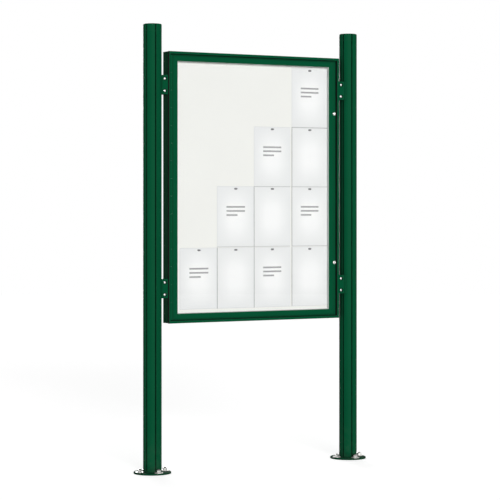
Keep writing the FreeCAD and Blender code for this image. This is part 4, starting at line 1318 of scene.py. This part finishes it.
@dataclass
class Case(SubAssembly):
    """Box of the notice board with its seals, panel, battens and riveted rear cover."""

    nodes: ClassVar[tuple[str, ...]] = (
        "case_top", "case_bottom", "case_left", "case_right", "corner_strip", "door_seal",
        "case_corner_cleats", "display_panel", "panel_battens", "rear_cover", "rear_cover_rivets")
    segments: int = 24
    mandrel: float = 0.0012
    mandrel_sink: float = 0.0007
    mandrel_taper: float = 0.9
    mandrel_lip: float = 1.3
    dome: float = 0.0013

    def make_pieces(self) -> None:
        """Make the rivets of the rear cover."""
        self.repeat(Repeat("rivet_heads", ("rear_cover_rivets",), Slot.ALUMINIUM, Facing.REAR,
                           0.0), self.rivet)

    def rivet(self, size: Vector) -> Shape:
        """Build a blind rivet with a sunk mandrel.

        Args:
            size: Size of the solid that it stands for.

        Returns:
            The shape.
        """
        shank = size.x / 4
        turning = Turning(self.segments)
        turning.profile((self.mandrel * self.mandrel_taper, self.mandrel_sink),
                        (self.mandrel, 0.0))
        turning.profile(*quarter(self.mandrel * self.mandrel_lip, size.x / 2, self.dome))
        turning.profile((shank, self.dome), (shank, size.y))
        return turning.closed()


@dataclass
class Door(SubAssembly):
    """Glazed frame of the door."""

    nodes: ClassVar[tuple[str, ...]] = (
        "door_top", "door_bottom", "door_left", "door_right", "glazing", "glazing_gasket",
        "glazing_beads", "door_corner_cleats")


@dataclass
class Hinge(SubAssembly):
    """Continuous hinge with the countersunk screws of both leaves."""

    nodes: ClassVar[tuple[str, ...]] = (
        "case_hinge_leaf", "door_hinge_leaf", "hinge_pin", "case_hinge_screws",
        "door_hinge_screws")
    cross: Outline = Outline(Drive.CROSS, 0.0017, 0.00045)
    recess: float = 0.0009
    head_height: float = 0.0012
    shank: float = 0.002

    def make_pieces(self) -> None:
        """Make the screws of both leaves."""
        for leaf, facing, body in (("case", Facing.RIGHT, Body.STAND),
                                   ("door", Facing.LEFT, Body.DOOR)):
            self.repeat(
                Repeat(leaf + "_leaf_screws", (leaf + "_hinge_screws",), Slot.STAINLESS, facing,
                       seed=3, body=body),
                lambda size: Screw(self.cross, self.recess, size.z / 2, self.head_height,
                                   self.shank, size.x).make())


@dataclass
class Locks(SubAssembly):
    """Cam locks with their key cylinders, nuts, cams and strike plates."""

    nodes: ClassVar[tuple[str, ...]] = tuple(
        level + name for name in ("_lock_housing", "_lock_plug", "_lock_cam", "_cam_screw",
                                  "_strike_plate")
        for level in LEVELS) + ("lock_nuts", "strike_screws")
    housing_segments: int = 48
    barrel: float = 0.006
    bore: float = 0.00455
    bore_lead: float = 0.0003
    head_thickness: float = 0.0025
    rim: float = 0.0008
    dish: float = 0.0004
    dish_slope: float = 0.9
    dish_steps: tuple[tuple[float, float], ...] = ((0.0019, 0.0001), (0.0016, 0.0))
    dish_inset: float = 0.0024
    plug_segments: int = 40
    keyway: Outline = Outline(Drive.KEYWAY, 0.0032, 0.0006)
    keyway_depth: float = 0.0045
    keyway_lead: float = 0.0003
    keyway_lip: float = 0.0002
    plug_steps: tuple[tuple[float, float], ...] = ((0.0004, 0.0), (0.0001, 0.0001),
                                                   (0.0, 0.0004))
    cam_cross: Outline = Outline(Drive.CROSS, 0.0019, 0.0005)
    cross_depth: float = 0.0009
    cam_head: float = 0.0012
    cam_dome_share: float = 0.7
    cam_shank: float = 0.0016
    strike_cross: Outline = Outline(Drive.CROSS, 0.0016, 0.00045)
    strike_head: float = 0.0012
    strike_shank: float = 0.002

    def make_pieces(self) -> None:
        """Make the parts of both locks that are finely shaped."""
        self.make_housings()
        self.repeat(
            Repeat("lock_hexagon_nuts", ("lock_nuts",), Slot.CHROME, Facing.REAR, 0.1, 2,
                   Body.DOOR),
            lambda size: Nut(size.z, self.barrel, size.y).make())
        self.repeat(
            Repeat("strike_plate_screws", ("strike_screws",), Slot.STAINLESS, Facing.LEFT,
                   seed=9),
            lambda size: Screw(self.strike_cross, self.cross_depth, size.z / 2,
                               self.strike_head, self.strike_shank, size.x).make())
        for level, body in zip(LEVELS, (Body.UPPER_LOCK, Body.LOWER_LOCK)):
            self.repeat(Repeat(level + "_key_cylinder", (level + "_lock_plug",), Slot.CHROME,
                               Facing.FRONT, 0.0, body=body), self.plug)
            self.repeat(
                Repeat(level + "_cam_pan_screw", (level + "_cam_screw",), Slot.STAINLESS,
                       Facing.REAR, 0.4, body=body),
                lambda size: Screw(self.cam_cross, self.cross_depth, size.x / 2, self.cam_head,
                                   self.cam_shank, size.y,
                                   self.cam_head * self.cam_dome_share).make())

    def make_housings(self) -> None:
        """Make the round heads, with a raised rim round a shallow dish, and their barrels."""
        heads = Repeat("lock_heads", ("upper_lock_housing", "lower_lock_housing"), Slot.CHROME,
                       Facing.FRONT, 0.0, body=Body.DOOR)
        boxes = solids_of(*heads.nodes)
        radius, length = boxes[0].size.x / 2, boxes[0].size.y
        turning = Turning(self.housing_segments)
        turning.profile((self.bore, length), (self.bore, self.dish * 2),
                        (self.bore + self.bore_lead, self.dish),
                        (radius - self.dish_inset, self.dish * self.dish_slope))
        turning.profile(*[(radius - inset, along) for inset, along in self.dish_steps])
        turning.profile(*quarter(radius - self.rim, radius, self.rim))
        turning.profile((radius, self.head_thickness), (self.barrel, self.head_thickness),
                        (self.barrel, length))
        self.copy_pattern(heads, turning.closed(hollow=True), [
            Vector((box.centre.x, box.low.y, box.high.z - radius)) for box in boxes])

    def plug(self, size: Vector) -> Shape:
        """Build a key cylinder with a key slot in its face.

        Args:
            size: Size of the solid that it stands for.

        Returns:
            The shape.
        """
        radius = size.x / 2
        turning = Turning(self.plug_segments, self.keyway.corners)
        turning.ring(self.keyway.reach, self.keyway_depth)
        turning.ring(self.keyway.reach, self.keyway_lead)
        turning.ring(lambda turn: self.keyway.reach(turn) + self.keyway_lip, 0.0)
        turning.profile(*[(radius - inset, along) for inset, along in self.plug_steps])
        turning.profile((radius, size.y))
        return turning.closed()


@dataclass
class Notices(SubAssembly):
    """Office sheets, each a little out of true as a hand hangs them, and their magnets."""

    nodes: ClassVar[tuple[str, ...]] = ("paper_sheets", "sheet_magnets")
    attributes: ClassVar[tuple[str, ...]] = (
        "printed", "key_left", "key_right", "key_bottom", "key_top")
    sideways: tuple[float, ...] = (0.0048, -0.0008, -0.0040, 0.0027)
    upwards: tuple[float, ...] = (-0.0023, -0.0010, 0.0015, 0.0)
    printed: tuple[Cell, ...] = ((0, 3), (1, 2), (2, 1), (2, 3), (3, 0), (3, 2))
    full_line_column: int = 1
    topped: Cell = (1, 3)
    # How dark the painted shade line along a side is: full, half and faint.
    key_full: float = 1.0
    key_level: float = 0.5
    key_faint: float = 0.15
    thickness: float = 0.00016
    layer: float = 0.0003
    bow: float = 0.0009
    sag_share: float = 0.35
    sag_shift: float = 0.2
    row_phase: float = 1.7
    column_phase: float = 2.9
    across_faces: int = 14
    up_faces: int = 20
    magnet_edge: float = 0.0009
    magnet_edge_share: float = 0.3
    magnet_face_share: float = 0.7
    magnet_end_faces: int = 10

    def make_pieces(self) -> None:
        """Make the sheets and the magnets."""
        self.make_sheets()
        self.make_magnets()

    def grid(self, boxes: list[Extent]) -> list[tuple[Extent, int, int]]:
        """Find the row from the top and the column from the left of every box.

        Args:
            boxes: The boxes.

        Returns:
            Each box with its row and its column.
        """
        lefts = [round(box.low.x, GRID_DECIMALS) for box in boxes]
        tops = [round(box.high.z, GRID_DECIMALS) for box in boxes]
        columns, rows = sorted(set(lefts)), sorted(set(tops), reverse=True)
        return [(box, rows.index(top), columns.index(left))
                for box, top, left in zip(boxes, tops, lefts)]

    def make_sheets(self) -> None:
        """Make all the sheets as one piece."""
        shape = bmesh.new()
        uv = shape.loops.layers.uv.new("sheet")
        placed = self.grid(solids_of("paper_sheets"))
        taken = {(row, column) for _, row, column in placed}
        marks = [shape.verts.layers.float.new(name) for name in self.attributes]
        for box, row, column in placed:
            values = dict(zip(marks, self.values_of(taken, row, column)))
            self.add_sheet(shape, uv, values, box, row, column)
        mesh = mesh_from("notices", shape, PAPER_SMOOTH_DEGREES)
        mesh.materials.append(self.finishes[Slot.PAPER])
        settle(new_object("notices", mesh), Body.STAND, Slot.PAPER, "paper_sheets")

    def values_of(self, taken: set[Cell], row: int, column: int) -> tuple[float, ...]:
        """Tell whether a sheet is printed and how dark the painted shade line is along each side.

        Args:
            taken: Every row and column that holds a sheet.
            row: Row from the top.
            column: Column from the left.

        Returns:
            The values of the sheet's attributes, in their order, with painted shade lines full
            where sheets meet and faint at the open edges.
        """
        beside, below = (row, column - 1) in taken, (row + 1, column) in taken
        return (float((row, column) in self.printed),
                self.key_full if beside else self.key_faint,
                self.key_full if column == self.full_line_column else 0.0,
                self.key_level if below else self.key_faint,
                self.key_level if (row, column) == self.topped else self.key_faint)

    def add_sheet(self, shape: Shape, uv: object, values: dict[object, float], box: Extent,
                  row: int, column: int) -> None:
        """Add one thin sheet, bowed a little off the panel.

        Args:
            shape: The shape that all the sheets share.
            uv: The UV layer.
            values: The values of the print and the painted shade lines, by their layers.
            box: The solid that the sheet stands for.
            row: Row from the top.
            column: Column from the left.
        """
        left = box.low.x + self.sideways[column]
        low = box.low.z + self.upwards[row]
        back = box.high.y - self.layer * (column % 2 + 2 * (row % 2))
        phase = self.row_phase * row + self.column_phase * column
        sides: list[dict[Cell, bmesh.types.BMVert]] = [{}, {}]
        for side, depth in zip(sides, (0.0, self.thickness)):
            for up in range(self.up_faces + 1):
                for across in range(self.across_faces + 1):
                    u, v = across / self.across_faces, up / self.up_faces
                    vertex = shape.verts.new((
                        left + u * box.size.x, back - depth - self.lift(u, v, phase),
                        low + v * box.size.z))
                    for layer, value in values.items():
                        vertex[layer] = value
                    side[up, across] = vertex
        self.close_sheet(shape, uv, *sides)

    def lift(self, u: float, v: float, phase: float) -> float:
        """Work out the distance of a point of a sheet off the panel, least at the magnet.

        Args:
            u: Share of the sheet's width from the left.
            v: Share of its height from the foot.
            phase: Shift of the bow, which makes each sheet different.

        Returns:
            The distance.
        """
        free = 1 - v
        curl = free ** 2 * (0.5 + 0.5 * math.cos(2 * math.pi * u + phase)) * self.bow
        sag = (self.sag_share * self.bow * math.sin(math.pi * u)
               * math.sin(math.pi * free + self.sag_shift))
        return max(0.0, curl + sag)

    def close_sheet(self, shape: Shape, uv: object, back: dict, front: dict) -> None:
        """Fill both faces and the rim of one sheet, and lay out its UV map.

        Args:
            shape: The shape that all the sheets share.
            uv: The UV layer.
            back: Points of the back by row and column.
            front: Points of the front.
        """
        rows, columns = self.up_faces, self.across_faces
        faces = []
        for r in range(rows):
            for c in range(columns):
                around = [(r, c), (r, c + 1), (r + 1, c + 1), (r + 1, c)]
                faces += [[(front, cell) for cell in around],
                          [(back, cell) for cell in reversed(around)]]
        rim = [(0, c) for c in range(columns)] + [(r, columns) for r in range(rows)]
        rim += [(rows, c) for c in range(columns, 0, -1)] + [(r, 0) for r in range(rows, 0, -1)]
        faces += [[(front, here), (back, here), (back, after), (front, after)]
                  for here, after in zip(rim, rim[1:] + rim[:1])]
        for corners in faces:
            face = shape.faces.new([side[cell] for side, cell in corners])
            for loop, (_, (row, column)) in zip(face.loops, corners):
                loop[uv].uv = (column / columns, row / rows)

    def make_magnets(self) -> None:
        """Make one oblong magnet and copy it to its places."""
        boxes = solids_of("sheet_magnets")
        places = [box.middle_of_face(Facing.FRONT)
                  + Vector((self.sideways[column], 0, self.upwards[row]))
                  for box, row, column in self.grid(boxes)]
        self.copy_pattern(
            Repeat("magnets", ("sheet_magnets",), Slot.MAGNET, Facing.FRONT, 0.03, 4),
            self.pill(boxes[0].size), places)

    def pill(self, size: Vector) -> Shape:
        """Build an oblong with round ends whose front edge is rounded, its face at Y 0.

        Args:
            size: Size of the solid that it stands for.

        Returns:
            The shape.
        """
        shape = bmesh.new()
        end, straight = size.z / 2, size.x / 2 - size.z / 2
        edge = self.magnet_edge
        corner = edge * self.magnet_edge_share
        turns = [(side, math.radians(start + 180.0 * step / self.magnet_end_faces))
                 for side, start in ((1, -90.0), (-1, 90.0))
                 for step in range(self.magnet_end_faces + 1)]
        loops = []
        for inset, along in ((0.0, size.y), (0.0, edge), (corner, corner), (edge, 0.0),
                             (end * self.magnet_face_share, 0.0)):
            loops.append([shape.verts.new((side * straight + (end - inset) * math.cos(turn),
                                           along, (end - inset) * math.sin(turn)))
                          for side, turn in turns])
        for first, second in zip(loops, loops[1:]):
            join_rings(shape, first, second)
        shape.faces.new(loops[0])
        shape.faces.new(loops[-1])
        return shape


@dataclass(frozen=True)
class Lamp:
    """Broad soft lamp, so far away that it lights everything from one direction."""

    name: str
    turn: float
    height: float
    strength: float
    spread: float = 26.0

    def hang(self) -> None:
        """Hang the lamp. A turn of 0 degrees is straight in front, and below 0 is left of it."""
        light = bpy.data.lights.new(self.name, "SUN")
        light.energy = self.strength
        light.angle = math.radians(self.spread)
        lamp = new_object(self.name, light)
        lamp.rotation_euler = (math.radians(90.0 - self.height), 0.0, math.radians(self.turn))


@dataclass
class Studio:
    """Pale floor, soft lamps, world and camera."""

    floor_radius: float = 18.0
    floor_segments: int = 96
    floor_colour: Colour = (0.3, 0.3, 0.3)
    floor_roughness: float = 0.9
    seen_colour: Colour = (0.75, 0.75, 0.75)
    seen_glow: float = 0.75
    ambient: float = 0.1
    lamps: tuple[Lamp, ...] = (Lamp("key", -17.0, 9.0, 2.9), Lamp("back_fill", 163.0, 10.0, 2.3))

    def build(self) -> None:
        """Build the floor, the world, the lamps and the camera."""
        self.make_floor()
        self.make_world()
        for lamp in self.lamps:
            lamp.hang()
        Viewpoint().make()

    def white_ray(self, build: Tree) -> Socket:
        """Tell rays that look at the backdrop from rays that only light the object."""
        rays = build.add("ShaderNodeLightPath").outputs
        return build.math("MAXIMUM", *[rays[f"Is {kind} Ray"]
                                       for kind in ("Camera", "Glossy", "Transmission")])

    def make_floor(self) -> None:
        """Build a round floor that reaches past every view, white but for the object's shadow."""
        shape = bmesh.new()
        bmesh.ops.create_circle(shape, cap_ends=True, segments=self.floor_segments,
                                radius=self.floor_radius)
        mesh = mesh_from("floor", shape)
        material, build, shader = new_material("pale_floor")
        seen = self.white_ray(build)
        build.fill(shader, {
            "Base Color": build.mix(seen, self.floor_colour, self.seen_colour),
            "Roughness": self.floor_roughness, "Specular IOR Level": 0.0,
            "Emission Color": WHITE,
            "Emission Strength": build.math("MULTIPLY", seen, self.seen_glow)})
        mesh.materials.append(material)
        new_object("floor", mesh)

    def make_world(self) -> None:
        """Light everything evenly, and show plain white to the camera."""
        world = bpy.data.worlds.new("studio")
        world.use_nodes = True
        bpy.context.scene.world = world
        build = Tree(world.node_tree)
        level = build.ramp(self.white_ray(build), 0.0, 1.0, self.ambient, 1.0)
        build.fill(world.node_tree.nodes["Background"], {"Color": WHITE, "Strength": level})


@dataclass(frozen=True)
class Viewpoint:
    """Camera of the photograph, level, with the horizon a little above the middle."""

    frame_pixels: float = 500.0
    focal_pixels: float = 1915.9
    horizon_pixel: float = 204.48
    turn_degrees: float = 29.829
    place: Point = (-4.7011, -8.1690, 1.2829)
    sensor_mm: float = 36.0
    sight: float = 60.0

    def make(self) -> None:
        """Build the camera and make it the scene's."""
        data = bpy.data.cameras.new("camera")
        data.sensor_width = self.sensor_mm
        data.lens = self.focal_pixels / self.frame_pixels * self.sensor_mm
        data.shift_y = self.horizon_pixel / self.frame_pixels - 0.5
        data.clip_end = self.sight
        camera = new_object("camera", data)
        camera.location = self.place
        camera.rotation_euler = (math.pi / 2, 0.0, -math.radians(self.turn_degrees))
        bpy.context.scene.camera = camera


def main() -> None:
    """Build the notice board's looks in order."""
    logging.basicConfig(level=logging.INFO, format="%(name)s %(message)s")
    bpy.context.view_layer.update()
    finishes, trees = Finishes(), Trees()
    dressed: list[str] = []
    for kind in (Posts, FootPlates, Clamps, Case, Door, Hinge, Locks, Notices):
        LOG.info("%s", kind.__name__)
        dressed += kind(finishes, trees).build()
    left = sorted(set(frame["nodes"]) - set(dressed))
    if left:
        raise SystemExit("nodes without a finish: " + ", ".join(left))
    Studio().build()
    bpy.context.scene.view_settings.view_transform = "Standard"


if __name__ == "__main__":
    main()
